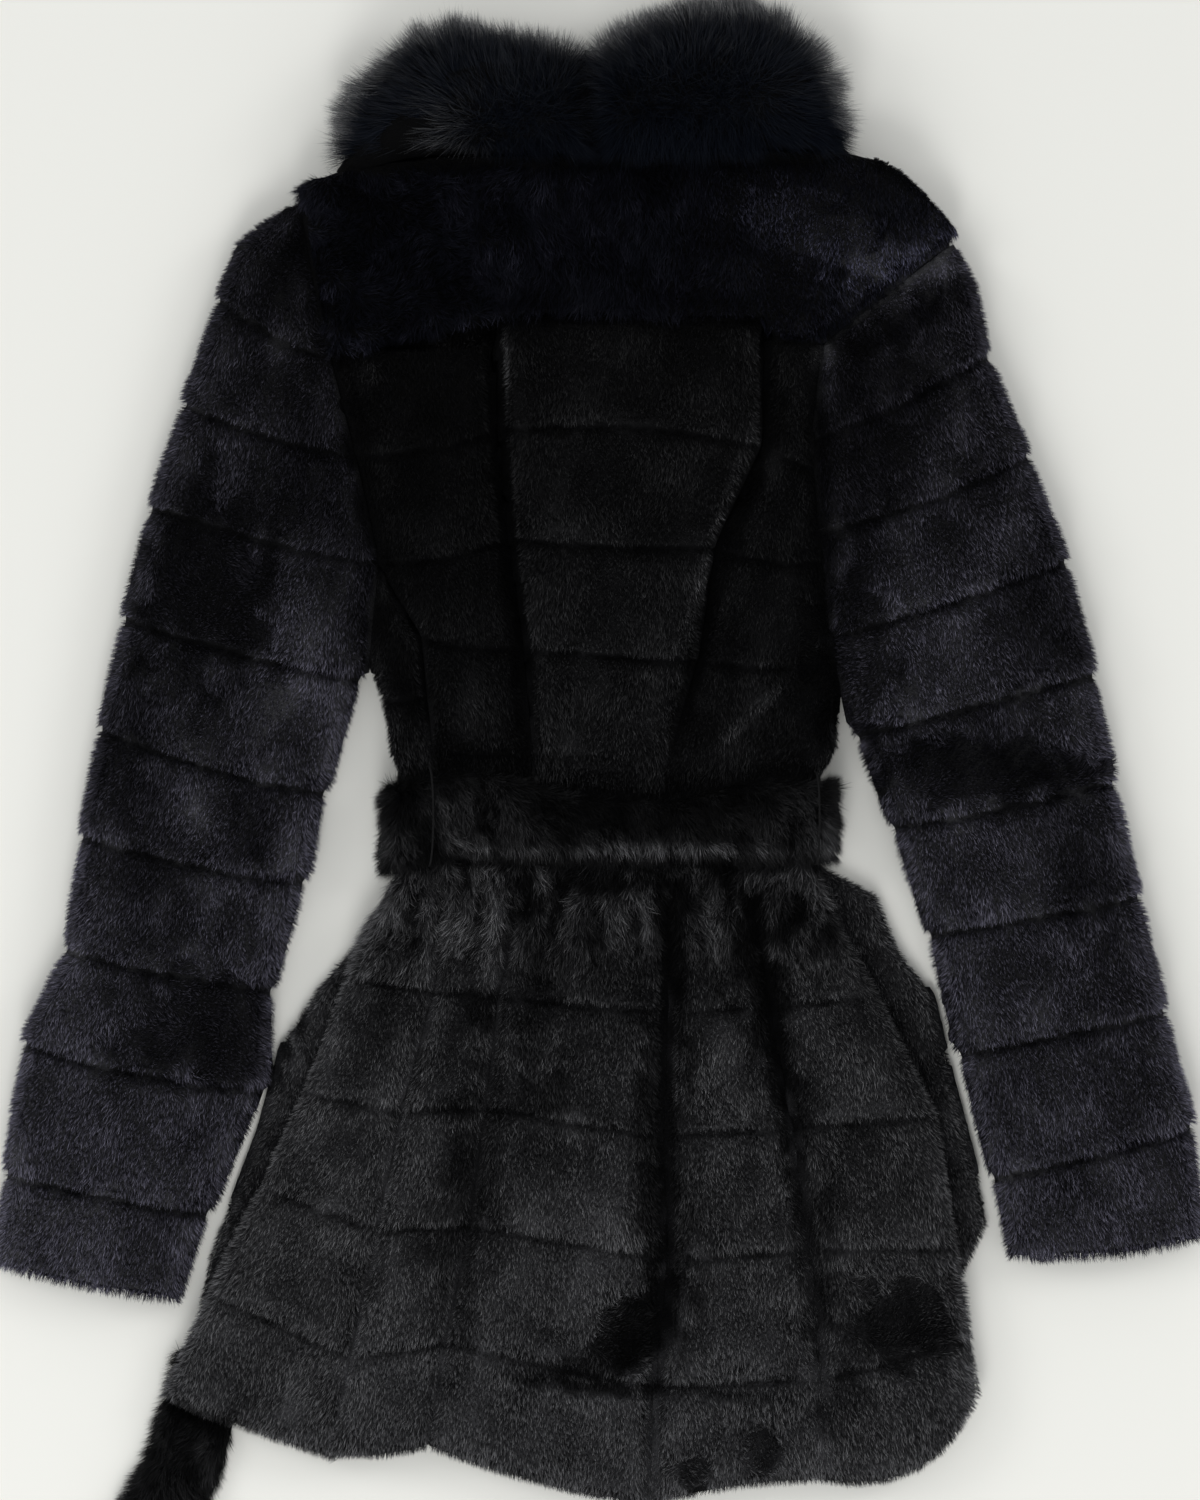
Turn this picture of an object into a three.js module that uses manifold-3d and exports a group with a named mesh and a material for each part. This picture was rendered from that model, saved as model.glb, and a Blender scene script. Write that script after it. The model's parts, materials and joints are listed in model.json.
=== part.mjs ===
// A fur coat that lies face down, seen from the back: sheared fur in shingled tiers on the
// bodice, sleeves and gathered skirt, a long-haired collar in two halves, and a fur belt.
// Millimetres. +X is the wearer's right, +Y runs up the coat to the collar, +Z is up.
// The origin is on the surface that the coat lies on, under the middle of the back waist.

import * as THREE from 'three';
import Module from 'manifold-3d';
import { mergeVertices } from 'three/addons/utils/BufferGeometryUtils.js';

const wasm = await Module();
wasm.setup();

// Gaps between pieces, and the height of the bodies that cut them along a seam
const seamGap = 0.3;
const half = seamGap / 2;
const cutterHeight = 200;
const layerGap = 0.4;

// Heights above the surface
const frontTop = 12;
const backFloor = frontTop + layerGap;
const waistTop = 23;
const beltFloor = waistTop + layerGap;
const beltPile = 17;
const beltEndTop = 12;

// Shingled tiers
const tierLip = 5;
const tierStep = 1.8;
// How a tier's fur rises along it: it comes out low from under the lip above, and ends in a lip
const tierStart = [
  { along: 0, rise: 0 },
  { along: 0.14, rise: 0.55 },
];
const tierRun = { along: 0.9, rise: 1 };
const lipRise = 0.75;
// How far a tier's outer corner stands out past the start of the next tier
const tierJut = 4;

// Where the belt presses the coat flat, measured up and down from the waist seam
const pressedUp = 34;
const pressedDown = 36;
const pressFade = 26;

// Columns of points across a piece: close together at its edges, wide apart in its middle
const edgeSteps = [0, 2.5, 8, 17];
const middleSpacing = 17;

// The hollow of a sleeve, pressed to a slit that opens at the cuff and into the body
const slitFloor = 11;
const slitTop = 13.4;
const slitInset = 17;
const slitPast = 12;
const slitFirstLine = 2;
// A sleeve's first lines end at the armhole seam, the rest at its own free inner edge
const joinedLines = 5;
const armholeHeight = 18;

// The height at which a rounded free edge is widest, and how far its rounds go in
const edgeHeight = 9;
const edgeRadius = 24;
const underRadius = 14;
const cuffHeight = 20;
const cuffRadius = 14;
const shoulderHeight = 24;
const shoulderRadius = 18;
// Below this a body reaches only to be cut flat, and no panel gets thinner than this
const cutDepth = 1;
const thinnest = 3;
const hemHeight = backFloor + 4;
const hemRadius = 20;

// Each row is a tier's lower lip, from the left end to the right end of the piece.
// sag: how far its middle hangs below the straight line. crown: height of the fur there.
const yokeTop = [
  [-190, 374], [-172, 383], [-148, 394], [-96, 399], [0, 402],
  [100, 403], [150, 400], [180, 388], [202, 366], [216, 350],
];
const yokeLines = [
  { leftX: -190, leftY: 374, rightX: 216, rightY: 350, sag: 0, crown: 34, lip: 0, via: yokeTop },
  { leftX: -186, leftY: 338, rightX: 178, rightY: 318, sag: -12, crown: 37, lip: 0 },
  { leftX: -168, leftY: 272, rightX: 130, rightY: 281, sag: -26, crown: 37, lip: 1 },
];
const backLeftLines = [
  { leftX: -166, leftY: 296, rightX: -65, rightY: 306, sag: 0, crown: 31, lip: 0 },
  { leftX: -150, leftY: 221, rightX: -61, rightY: 235, sag: 4, crown: 32, lip: 1 },
  { leftX: -134, leftY: 156, rightX: -55, rightY: 171, sag: 4, crown: 32, lip: 1 },
  { leftX: -106, leftY: 111, rightX: -46, rightY: 105, sag: 2, crown: 32, lip: 1 },
  { leftX: -99, leftY: 42, rightX: -40, rightY: 40, sag: 0, crown: 31, lip: 1 },
  { leftX: -92, leftY: 2, rightX: -38, rightY: 2, sag: 0, crown: waistTop, lip: 0 },
];
const backCentreLines = [
  { leftX: -65, leftY: 306, rightX: 97, rightY: 306, sag: 0, crown: 32, lip: 0 },
  { leftX: -61, leftY: 235, rightX: 96, rightY: 225, sag: -7, crown: 34, lip: 1 },
  { leftX: -55, leftY: 171, rightX: 68, rightY: 165, sag: 2, crown: 34, lip: 1 },
  { leftX: -46, leftY: 105, rightX: 58, rightY: 98, sag: 1, crown: 34, lip: 1 },
  { leftX: -40, leftY: 40, rightX: 38, rightY: 31, sag: 1, crown: 32, lip: 1 },
  { leftX: -38, leftY: 2, rightX: 34, rightY: 2, sag: 0, crown: waistTop, lip: 0 },
];
const backRightLines = [
  { leftX: 97, leftY: 306, rightX: 140, rightY: 300, sag: 0, crown: 31, lip: 0 },
  { leftX: 96, leftY: 225, rightX: 132, rightY: 210, sag: 0, crown: 31, lip: 1 },
  { leftX: 68, leftY: 165, rightX: 136, rightY: 156, sag: 3, crown: 32, lip: 1 },
  { leftX: 58, leftY: 98, rightX: 145, rightY: 96, sag: 3, crown: 33, lip: 1 },
  { leftX: 38, leftY: 31, rightX: 142, rightY: 45, sag: 3, crown: 31, lip: 1 },
  { leftX: 37.6, leftY: 28, rightX: 132, rightY: 28, sag: 0, crown: waistTop, lip: 0 },
  { leftX: 34, leftY: 2, rightX: 132, rightY: 2, sag: 0, crown: waistTop, lip: 0 },
];
const sideLeftLines = [
  { leftX: -142, leftY: 152, rightX: -131.5, rightY: 152, sag: 0, crown: 26, lip: 0 },
  { leftX: -140, leftY: 104, rightX: -105.8, rightY: 110, sag: 0, crown: 28, lip: 0 },
  { leftX: -131, leftY: 72, rightX: -102.8, rightY: 76, sag: 0, crown: 28, lip: 1 },
  { leftX: -126, leftY: 42, rightX: -99.4, rightY: 42, sag: 0, crown: 27, lip: 0 },
  { leftX: -121, leftY: 30, rightX: -97.4, rightY: 30, sag: 0, crown: waistTop, lip: 0 },
  { leftX: -121, leftY: 2, rightX: -92, rightY: 2, sag: 0, crown: waistTop, lip: 0 },
];

// The skirt's lines run over all five gores; X and Y are where a line crosses each valley
const skirtLines = [
  { x: [-121, -89, -42, 40, 89, 131], y: [-2, -2, -2, -2, -2, -2], crown: waistTop, lip: 0 },
  { x: [-121, -92, -43, 40, 90, 130], y: [-33, -34, -34, -34, -34, -33], crown: 27, lip: 0 },
  { x: [-137, -94, -50, 40, 94, 140], y: [-56, -58, -59, -60, -60, -58], crown: 37, lip: 0 },
  { x: [-152, -98, -60, 41, 101, 166], y: [-90, -99, -102, -111, -108, -101], crown: 37, lip: 1 },
  { x: [-177, -118, -68, 38, 114, 201], y: [-159, -170, -168, -185, -180, -173], crown: 35, lip: 1 },
  { x: [-203, -132, -77, 41, 125, 214], y: [-215, -241, -238, -259, -252, -252], crown: 35, lip: 1 },
  { x: [-234, -148, -92, 33, 132, 223], y: [-278, -317, -308, -334, -329, -307], crown: 36, lip: 1 },
  { x: [-263, -162, -102, 30, 134, 227], y: [-343, -382, -376, -411, -396, -343], crown: 32, lip: 0 },
];
// The valleys between the gores: how high each one's bottom lies at the waist and at the hem
const skirtValleys = [
  { height: 16.5, footHeight: 16.5, radius: 30 },
  { height: 23, footHeight: 29, radius: 14 },
  { height: 24, footHeight: 28, radius: 14 },
  { height: 16, footHeight: 22, radius: 17, ledge: 2.5 },
  { height: 15, footHeight: 28, radius: 17, ledge: 2.5 },
  { height: 16.5, footHeight: 16.5, radius: 30 },
];
const skirtHemSag = [2, 2, 4, -4, 22];

// Left sleeve: left is its outer edge, right is its inner edge
const sleeveLeftLines = [
  { leftX: -199, leftY: 363, rightX: -176, rightY: 371, sag: 0, crown: 30, lip: 0 },
  { leftX: -219, leftY: 345, rightX: -168, rightY: 322, sag: 0, crown: 36, lip: 0 },
  { leftX: -231, leftY: 315, rightX: -159, rightY: 276, sag: 3, crown: 36, lip: 1 },
  { leftX: -252, leftY: 252, rightX: -144, rightY: 219, sag: 4, crown: 36, lip: 1 },
  { leftX: -272, leftY: 191, rightX: -130, rightY: 156, sag: 4, crown: 36, lip: 1 },
  { leftX: -288, leftY: 124, rightX: -138, rightY: 86, sag: 4, crown: 37, lip: 1 },
  { leftX: -302, leftY: 59, rightX: -160, rightY: 18, sag: 5, crown: 36, lip: 1 },
  { leftX: -314, leftY: -5, rightX: -172, rightY: -35, sag: 4, crown: 35, lip: 1 },
  { leftX: -322, leftY: -73, rightX: -192, rightY: -100, sag: 3, crown: 35, lip: 1 },
  { leftX: -348, leftY: -129, rightX: -196, rightY: -159, sag: 5, crown: 37, lip: 1 },
  { leftX: -359, leftY: -207, rightX: -229, rightY: -233, sag: 2, crown: 34, lip: 1 },
  { leftX: -366, leftY: -266, rightX: -250, rightY: -289, sag: 3, crown: 30, lip: 0 },
];
// Right sleeve: left is its inner edge, right is its outer edge
const sleeveRightLines = [
  { leftX: 130, leftY: 281, rightX: 216, rightY: 347, sag: 0, crown: 32, lip: 0 },
  { leftX: 127, leftY: 257, rightX: 227, rightY: 318, sag: 2, crown: 36, lip: 0 },
  { leftX: 124, leftY: 228, rightX: 235, rightY: 282, sag: 3, crown: 36, lip: 1 },
  { leftX: 128, leftY: 174, rightX: 259, rightY: 222, sag: 5, crown: 36, lip: 1 },
  { leftX: 135, leftY: 110, rightX: 282, rightY: 159, sag: 2, crown: 37, lip: 1 },
  { leftX: 149, leftY: 51, rightX: 299, rightY: 91, sag: 0, crown: 37, lip: 1 },
  { leftX: 170, leftY: -2, rightX: 311, rightY: 26, sag: 2, crown: 35, lip: 1 },
  { leftX: 192, leftY: -66, rightX: 326, rightY: -42, sag: 1, crown: 36, lip: 1 },
  { leftX: 210, leftY: -138, rightX: 341, rightY: -110, sag: 1, crown: 36, lip: 1 },
  { leftX: 230, leftY: -211, rightX: 358, rightY: -179, sag: 2, crown: 34, lip: 1 },
  { leftX: 243, leftY: -262, rightX: 364, rightY: -250, sag: 6, crown: 30, lip: 0 },
];

// The fronts lie lowest, edge to edge; each row gives the outer edge and the meeting edge
const frontSplit = 14;
const frontShares = [0, 0.03, 0.1, 0.4, 0.65, 0.9, 0.97, 1];
const frontEdge = 6;
const frontRound = 10;
const frontLeftLines = [
  { leftX: -190, leftY: 370, rightX: -60, rightY: 392, sag: 0 },
  { leftX: -176, leftY: 330, rightX: frontSplit, rightY: 325, sag: 0 },
  { leftX: -134, leftY: 156, rightX: frontSplit, rightY: 156, sag: 0 },
  { leftX: -140, leftY: 100, rightX: frontSplit, rightY: 100, sag: 0 },
  { leftX: -131, leftY: 72, rightX: frontSplit, rightY: 72, sag: 0 },
  { leftX: -121, leftY: 30, rightX: frontSplit, rightY: 30, sag: 0 },
  { leftX: -121, leftY: -32, rightX: frontSplit, rightY: -32, sag: 0 },
  { leftX: -143, leftY: -69, rightX: frontSplit, rightY: -70, sag: 0 },
  { leftX: -169, leftY: -99, rightX: frontSplit, rightY: -110, sag: 0 },
  { leftX: -191, leftY: -134, rightX: frontSplit, rightY: -150, sag: 0 },
  { leftX: -205, leftY: -186, rightX: frontSplit, rightY: -200, sag: 0 },
  { leftX: -221, leftY: -228, rightX: frontSplit, rightY: -255, sag: 0 },
  { leftX: -234, leftY: -262, rightX: frontSplit, rightY: -310, sag: 0 },
  { leftX: -240, leftY: -290, rightX: frontSplit, rightY: -392, sag: 24 },
];
const frontRightLines = [
  { leftX: 60, leftY: 392, rightX: 206, rightY: 354, sag: -8 },
  { leftX: frontSplit, leftY: 325, rightX: 150, rightY: 284, sag: 0 },
  { leftX: frontSplit, leftY: 228, rightX: 134, rightY: 228, sag: 0 },
  { leftX: frontSplit, leftY: 156, rightX: 137, rightY: 156, sag: 0 },
  { leftX: frontSplit, leftY: 96, rightX: 144, rightY: 96, sag: 0 },
  { leftX: frontSplit, leftY: 45, rightX: 142, rightY: 45, sag: 0 },
  { leftX: frontSplit, leftY: 30, rightX: 132, rightY: 30, sag: 0 },
  { leftX: frontSplit, leftY: -26, rightX: 132, rightY: -26, sag: 0 },
  { leftX: frontSplit, leftY: -60, rightX: 166, rightY: -44, sag: 0 },
  { leftX: frontSplit, leftY: -85, rightX: 178, rightY: -75, sag: 0 },
  { leftX: frontSplit, leftY: -120, rightX: 200, rightY: -105, sag: 0 },
  { leftX: frontSplit, leftY: -170, rightX: 211, rightY: -152, sag: 0 },
  { leftX: frontSplit, leftY: -230, rightX: 225, rightY: -205, sag: 0 },
  { leftX: frontSplit, leftY: -300, rightX: 232, rightY: -242, sag: 0 },
  { leftX: frontSplit, leftY: -392, rightX: 190, rightY: -335, sag: 16 },
];

// Armhole seams, from the shoulder down to the underarm
const armholeLeft = [[-186, 392], [-178, 369], [-162, 276], [-147, 219], [-133, 156], [-139, 86]];
const armholeRight = [[236, 366], [211, 346], [133, 284], [127, 228], [131, 174], [138, 110], [150, 51]];
// Seam between the yoke and the three columns of the back
const yokeSeam = [[-185, 277], [-69, 284], [-63, 300], [96, 300], [100, 290], [150, 282]];
// Seam between the collar and the yoke
const neckSeam = [[-175, 384], [-154, 387], [-96, 394], [0, 396], [100, 398], [148, 397], [170, 396]];

// Folds pressed into the upper side, from one end to the other
const creases = [
  { fromX: 108, fromY: 80, toX: 64, toY: 33, depth: 8, width: 8 },
  { fromX: -262, fromY: 60, toX: -236, toY: -84, depth: 6, width: 13 },
  { fromX: 166, fromY: 22, toX: 236, toY: 46, depth: 7, width: 9 },
  { fromX: 236, fromY: 46, toX: 306, toY: 38, depth: 6, width: 9 },
  { fromX: 172, fromY: 190, toX: 232, toY: 210, depth: 4, width: 8 },
  { fromX: -178, fromY: 300, toX: -150, toY: 196, depth: 5, width: 12 },
  { fromX: -236, fromY: -282, toX: -180, toY: -318, depth: 3, width: 12 },
  { fromX: 0, fromY: -322, toX: 36, toY: -250, depth: 6, width: 14 },
];
// Gathers of the skirt under the belt: where each starts, and how far down it runs
const gathers = [
  { topX: -112, footX: -124, footY: -96, depth: 5 },
  { topX: -70, footX: -82, footY: -112, depth: 6 },
  { topX: -24, footX: -30, footY: -92, depth: 6 },
  { topX: 2, footX: 2, footY: -84, depth: 5 },
  { topX: 22, footX: 22, footY: -98, depth: 6 },
  { topX: 62, footX: 66, footY: -106, depth: 6 },
  { topX: 112, footX: 128, footY: -92, depth: 6 },
];
const gatherWidth = 7;
const gatherTop = -34;

// Collar halves: rows of plan points from the outer edge to the neck, left to right
const collarLeftOuter = [
  [-160, 392], [-158, 420], [-144, 446], [-122, 466], [-92, 478], [-52, 474], [-9, 462],
];
const collarRightOuter = [
  [-9, 462], [18, 478], [54, 490], [90, 492], [122, 476], [144, 444], [152, 402],
];
const collarLeftNeck = [
  [-154, 386], [-128, 392], [-96, 394], [-64, 395], [-40, 396], [-20, 396], [-2, 396],
];
const collarRightNeck = [
  [-2, 396], [22, 396], [48, 397], [74, 398], [100, 398], [124, 398], [148, 396],
];
const collarCrown = 70;
const collarEdges = [
  { name: 'outer', height: 12, radius: 46 },
  { name: 'neck', height: 34, radius: 34 },
  { name: 'notch', height: 40, radius: 34 },
  { name: 'end', height: 14, radius: 40 },
];
// The collar is built past the neck seam by this much, and cut there
const neckOverrun = 4;
const collarRows = [0, 0.06, 0.18, 0.36, 0.56, 0.76, 0.9, 1];
const collarColumns = 13;

// Belt over the back waist: upper and lower edge, left to right
const beltUpper = [
  [-130, 21], [-101, 27], [-78, 30], [-54, 27], [-24, 18],
  [12, 14], [48, 15], [72, 21], [102, 25], [142, 23],
];
const beltLower = [
  [-130, -30], [-96, -20], [-60, -20], [-24, -21], [24, -22],
  [60, -19], [84, -25], [112, -22], [142, -20],
];
const beltRows = [0, 0.08, 0.3, 0.6, 0.88, 1];
const beltSpacing = 11;
const beltSides = { height: beltFloor + 5, radius: 16 };
const beltEnds = { height: beltFloor - 6, radius: 14 };
const wrapStep = 0.4;
const wrapRound = 3;
const bodyLeftAtWaist = -121;
const bodyRightAtWaist = 132;
const wrapClearance = 0.5;

// Free end of the belt: its middle line from under the hem to its tip, and its half width
const beltEndMiddle = [[-231, -322], [-239, -350], [-249, -384], [-262, -412], [-281, -455], [-296, -500]];
const beltEndHalf = 23;
const beltEndShares = [0, 0.08, 0.22, 0.36, 0.5, 0.64, 0.78, 0.9, 0.96, 1];
const beltEndAcross = [-1, -0.86, -0.5, 0, 0.5, 0.86, 1];
const beltEndEdge = { height: 5, radius: 9 };
const beltTipStart = 0.9;
const beltTipTaper = 0.3;

// Thread loops over the belt: their places along the waist and their thickness
const loopWidth = 2.4;
const loopStand = 6;
const loopBend = 4;
const loops = [
  { name: 'belt_loop_left', x: -103, upperY: 27, lowerY: -21 },
  { name: 'belt_loop_right', x: 127, upperY: 23, lowerY: -20 },
];

const furColour = new THREE.MeshStandardMaterial({ color: 0x15161a, roughness: 0.85, metalness: 0 });
const foxColour = new THREE.MeshStandardMaterial({ color: 0x0d0e12, roughness: 0.7, metalness: 0 });
const threadColour = new THREE.MeshStandardMaterial({ color: 0x101014, roughness: 0.6, metalness: 0 });

const lerp = THREE.MathUtils.lerp;
const clamp01 = (value) => THREE.MathUtils.clamp(value, 0, 1);

// A quarter round: 0 at the edge, 1 from the radius inwards
function quarterRound(distance, radius) {
  const t = clamp01(distance / radius);
  return Math.sqrt(1 - (1 - t) * (1 - t));
}

// The crown lowered towards each edge; every edge has its distance, height and radius.
// An edge with a ledge stays at its height that far in, and rises from there.
function roundedHeight(floor, crown, edges) {
  let share = 1;
  for (const edge of edges) {
    const fall = (crown - edge.height) / (crown - floor);
    share *= 1 - fall * (1 - quarterRound(edge.distance - (edge.ledge ?? 0), edge.radius));
  }
  return floor + (crown - floor) * share;
}

// How strongly the belt presses at this place: 1 under it, fading to 0 above and below
function pressAt(y) {
  const above = clamp01((y - pressedUp) / pressFade);
  const below = clamp01((-pressedDown - y) / pressFade);
  const away = Math.max(above, below);
  return 1 - away * away * (3 - 2 * away);
}

// Depth of one straight fold at a place
function foldDepth(x, y, fold) {
  const runX = fold.toX - fold.fromX;
  const runY = fold.toY - fold.fromY;
  const t = ((x - fold.fromX) * runX + (y - fold.fromY) * runY) / (runX * runX + runY * runY);
  const nearest = clamp01(t);
  const away = Math.hypot(x - fold.fromX - nearest * runX, y - fold.fromY - nearest * runY);
  return fold.depth * Math.exp(-((away / fold.width) ** 2));
}

function creaseDepth(x, y) {
  return creases.reduce((sum, fold) => sum + foldDepth(x, y, fold), 0);
}

function gatherDepth(x, y) {
  let sum = 0;
  for (const gather of gathers) {
    const fold = {
      fromX: gather.topX,
      fromY: gatherTop,
      toX: gather.footX,
      toY: gather.footY,
      depth: gather.depth,
      width: gatherWidth,
    };
    sum += foldDepth(x, y, fold);
  }
  return sum;
}

function curveThrough(points) {
  return new THREE.SplineCurve(points.map(([x, y]) => new THREE.Vector2(x, y)));
}

// A point on a line of a table, with its sag below the straight line
function linePoint(line, share) {
  if (line.via) return curveThrough(line.via).getPointAt(share);
  const x = lerp(line.leftX, line.rightX, share);
  const y = lerp(line.leftY, line.rightY, share);
  const length = Math.hypot(line.rightX - line.leftX, line.rightY - line.leftY);
  const sag = line.sag * 4 * share * (1 - share);
  const downX = (line.rightY - line.leftY) / length;
  const downY = -(line.rightX - line.leftX) / length;
  return { x: x + downX * sag, y: y + downY * sag };
}

// Shares across a width, close together at both edges
function sharesAcross(width) {
  const scale = Math.min(1, width / 60);
  const edge = edgeSteps.map((step) => (step * scale) / width);
  const last = edge[edge.length - 1];
  const middleCount = Math.max(1, Math.round((width * (1 - 2 * last)) / middleSpacing));
  const middle = [];
  for (let k = 1; k < middleCount; k += 1) {
    middle.push(lerp(last, 1 - last, k / middleCount));
  }
  const far = edge.map((share) => 1 - share).reverse();
  return [...edge, ...middle, ...far];
}

function lineLength(line) {
  return Math.hypot(line.rightX - line.leftX, line.rightY - line.leftY);
}

// Rows of a tiered piece between two lines: the start of a tier, its run, and its lip
function tierRows(lines) {
  const rows = [];
  lines.slice(1).forEach((line, index) => {
    const before = lines[index];
    const length = Math.hypot(line.leftX - before.leftX, line.leftY - before.leftY);
    const start = before.lip ? tierStep / length : 0;
    const startsTier = before.lip || index === 0;
    const end = { along: 1, rise: line.lip ? lipRise : 1 };
    for (const step of [...(startsTier ? tierStart : []), tierRun, end]) {
      rows.push({ before, line, along: lerp(start, 1, step.along), rise: step.rise });
    }
  });
  return rows;
}

// Where a row's point lies, and how high the fur's crown is there
function rowPoint(row, share) {
  const upper = linePoint(row.before, share);
  const lower = linePoint(row.line, share);
  return {
    x: lerp(upper.x, lower.x, row.along),
    y: lerp(upper.y, lower.y, row.along),
    crown: lerp(row.before.crown, row.line.crown, row.along) - tierLip * (1 - row.rise),
  };
}

function distanceTo(line, share, x, y) {
  const point = linePoint(line, share);
  return Math.hypot(x - point.x, y - point.y);
}

// A closed body between an upper and a lower grid of points; rows run down, columns to +X
function gridBody(grid) {
  const rowCount = grid.length;
  const columnCount = grid[0].length;
  const layer = rowCount * columnCount;
  const positions = [];
  for (const key of ['top', 'base']) {
    for (const row of grid) {
      for (const point of row) positions.push(point.x, point.y, point[key]);
    }
  }
  const indices = [];
  const quad = (a, b, c, d) => indices.push(a, b, c, c, b, d);
  for (let i = 0; i < rowCount - 1; i += 1) {
    for (let j = 0; j < columnCount - 1; j += 1) {
      const a = i * columnCount + j;
      quad(a, a + columnCount, a + 1, a + columnCount + 1);
      quad(layer + a, layer + a + 1, layer + a + columnCount, layer + a + columnCount + 1);
    }
  }
  const rim = [];
  for (let i = 0; i < rowCount - 1; i += 1) rim.push(i * columnCount);
  for (let j = 0; j < columnCount - 1; j += 1) rim.push((rowCount - 1) * columnCount + j);
  for (let i = rowCount - 1; i > 0; i -= 1) rim.push(i * columnCount + columnCount - 1);
  for (let j = columnCount - 1; j > 0; j -= 1) rim.push(j);
  rim.forEach((a, k) => {
    const b = rim[(k + 1) % rim.length];
    quad(a, layer + a, b, layer + b);
  });
  return solidFrom(positions, indices);
}

function solidFrom(positions, indices) {
  const vertProperties = new Float32Array(positions);
  const triVerts = new Uint32Array(indices);
  return new wasm.Manifold(new wasm.Mesh({ numProp: 3, vertProperties, triVerts }));
}

// The part of a body above a height, with its underside cut flat
function flatUnder(body, height) {
  return body.trimByPlane([0, 0, 1], height);
}

// Everything on one side of a seam: the seam's points moved sideways, closed far away
function sideOfSeam(seam, offset, far) {
  const moved = seam.map(([x, y], index) => {
    const before = seam[Math.max(0, index - 1)];
    const after = seam[Math.min(seam.length - 1, index + 1)];
    const runX = after[0] - before[0];
    const runY = after[1] - before[1];
    const run = Math.hypot(runX, runY);
    return new THREE.Vector2(x - (runY / run) * offset, y + (runX / run) * offset);
  });
  const outline = new THREE.Shape([...moved, ...far.map(([x, y]) => new THREE.Vector2(x, y))]);
  const wall = new THREE.ExtrudeGeometry(outline, { depth: cutterHeight, bevelEnabled: false, steps: 1 });
  wall.translate(0, 0, -cutterHeight / 4);
  wall.deleteAttribute('normal');
  wall.deleteAttribute('uv');
  const merged = mergeVertices(wall);
  return solidFrom(merged.attributes.position.array, merged.index.array);
}

const beyondLeftSleeve = sideOfSeam(armholeLeft, -half, [[-139, 0], [0, 0], [0, 430]]);
const beyondLeftBody = sideOfSeam(armholeLeft, half, [[-420, 86], [-420, 430]]);
const beyondRightSleeve = sideOfSeam(armholeRight, half, [[150, 40], [40, 40], [40, 430]]);
const beyondRightBody = sideOfSeam(armholeRight, -half, [[420, 51], [420, 430]]);
const aboveYokeSeam = sideOfSeam(yokeSeam, -half, [[240, 282], [240, 480], [-240, 480], [-240, 277]]);
const belowYokeSeam = sideOfSeam(yokeSeam, half, [[240, 282], [240, 100], [-240, 100], [-240, 277]]);
const aboveNeckSeam = sideOfSeam(neckSeam, -half, [[170, 520], [-175, 520]]);
const belowNeckSeam = sideOfSeam(neckSeam, half, [[170, 300], [-175, 300]]);

// The height of a side edge, which may change from the top of a panel to its foot
function edgeAt(edge, down) {
  return { ...edge, height: lerp(edge.height, edge.footHeight ?? edge.height, down) };
}

// A panel of the back, which lies on the fronts: flat under, tiered and crowned on top
function backPanel(lines, leftEdge, rightEdge, hasHem = false) {
  const shares = sharesAcross(Math.max(...lines.map(lineLength)));
  const foot = lines[lines.length - 1];
  const grid = tierRows(lines).map((row, index, rows) => shares.map((share) => {
    const down = index / (rows.length - 1);
    const { x, y, crown } = rowPoint(row, share);
    const width = lineLength(row.line);
    const edges = [
      { distance: share * width, ...edgeAt(leftEdge, down) },
      { distance: (1 - share) * width, ...edgeAt(rightEdge, down) },
    ];
    if (hasHem) edges.push({ distance: distanceTo(foot, share, x, y), height: hemHeight, radius: hemRadius });
    const free = roundedHeight(backFloor, crown, edges) - creaseDepth(x, y) - gatherDepth(x, y);
    const top = lerp(free, waistTop, pressAt(y));
    return { x, y, top: Math.max(top, backFloor + thinnest), base: backFloor - cutDepth };
  }));
  return flatUnder(gridBody(grid), backFloor);
}

// The lines of one gore, from the skirt's table, with half a seam gap at each valley
function goreLines(index) {
  return skirtLines.map((line, row) => ({
    leftX: line.x[index] + (index === 0 ? 0 : half),
    leftY: line.y[index],
    rightX: line.x[index + 1] - (index === skirtValleys.length - 2 ? 0 : half),
    rightY: line.y[index + 1],
    sag: row === skirtLines.length - 1 ? skirtHemSag[index] : 0,
    crown: line.crown,
    lip: line.lip,
  }));
}

function seamed(lines, leftInset, rightInset) {
  return lines.map((line) => ({ ...line, leftX: line.leftX + leftInset, rightX: line.rightX - rightInset }));
}

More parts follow.
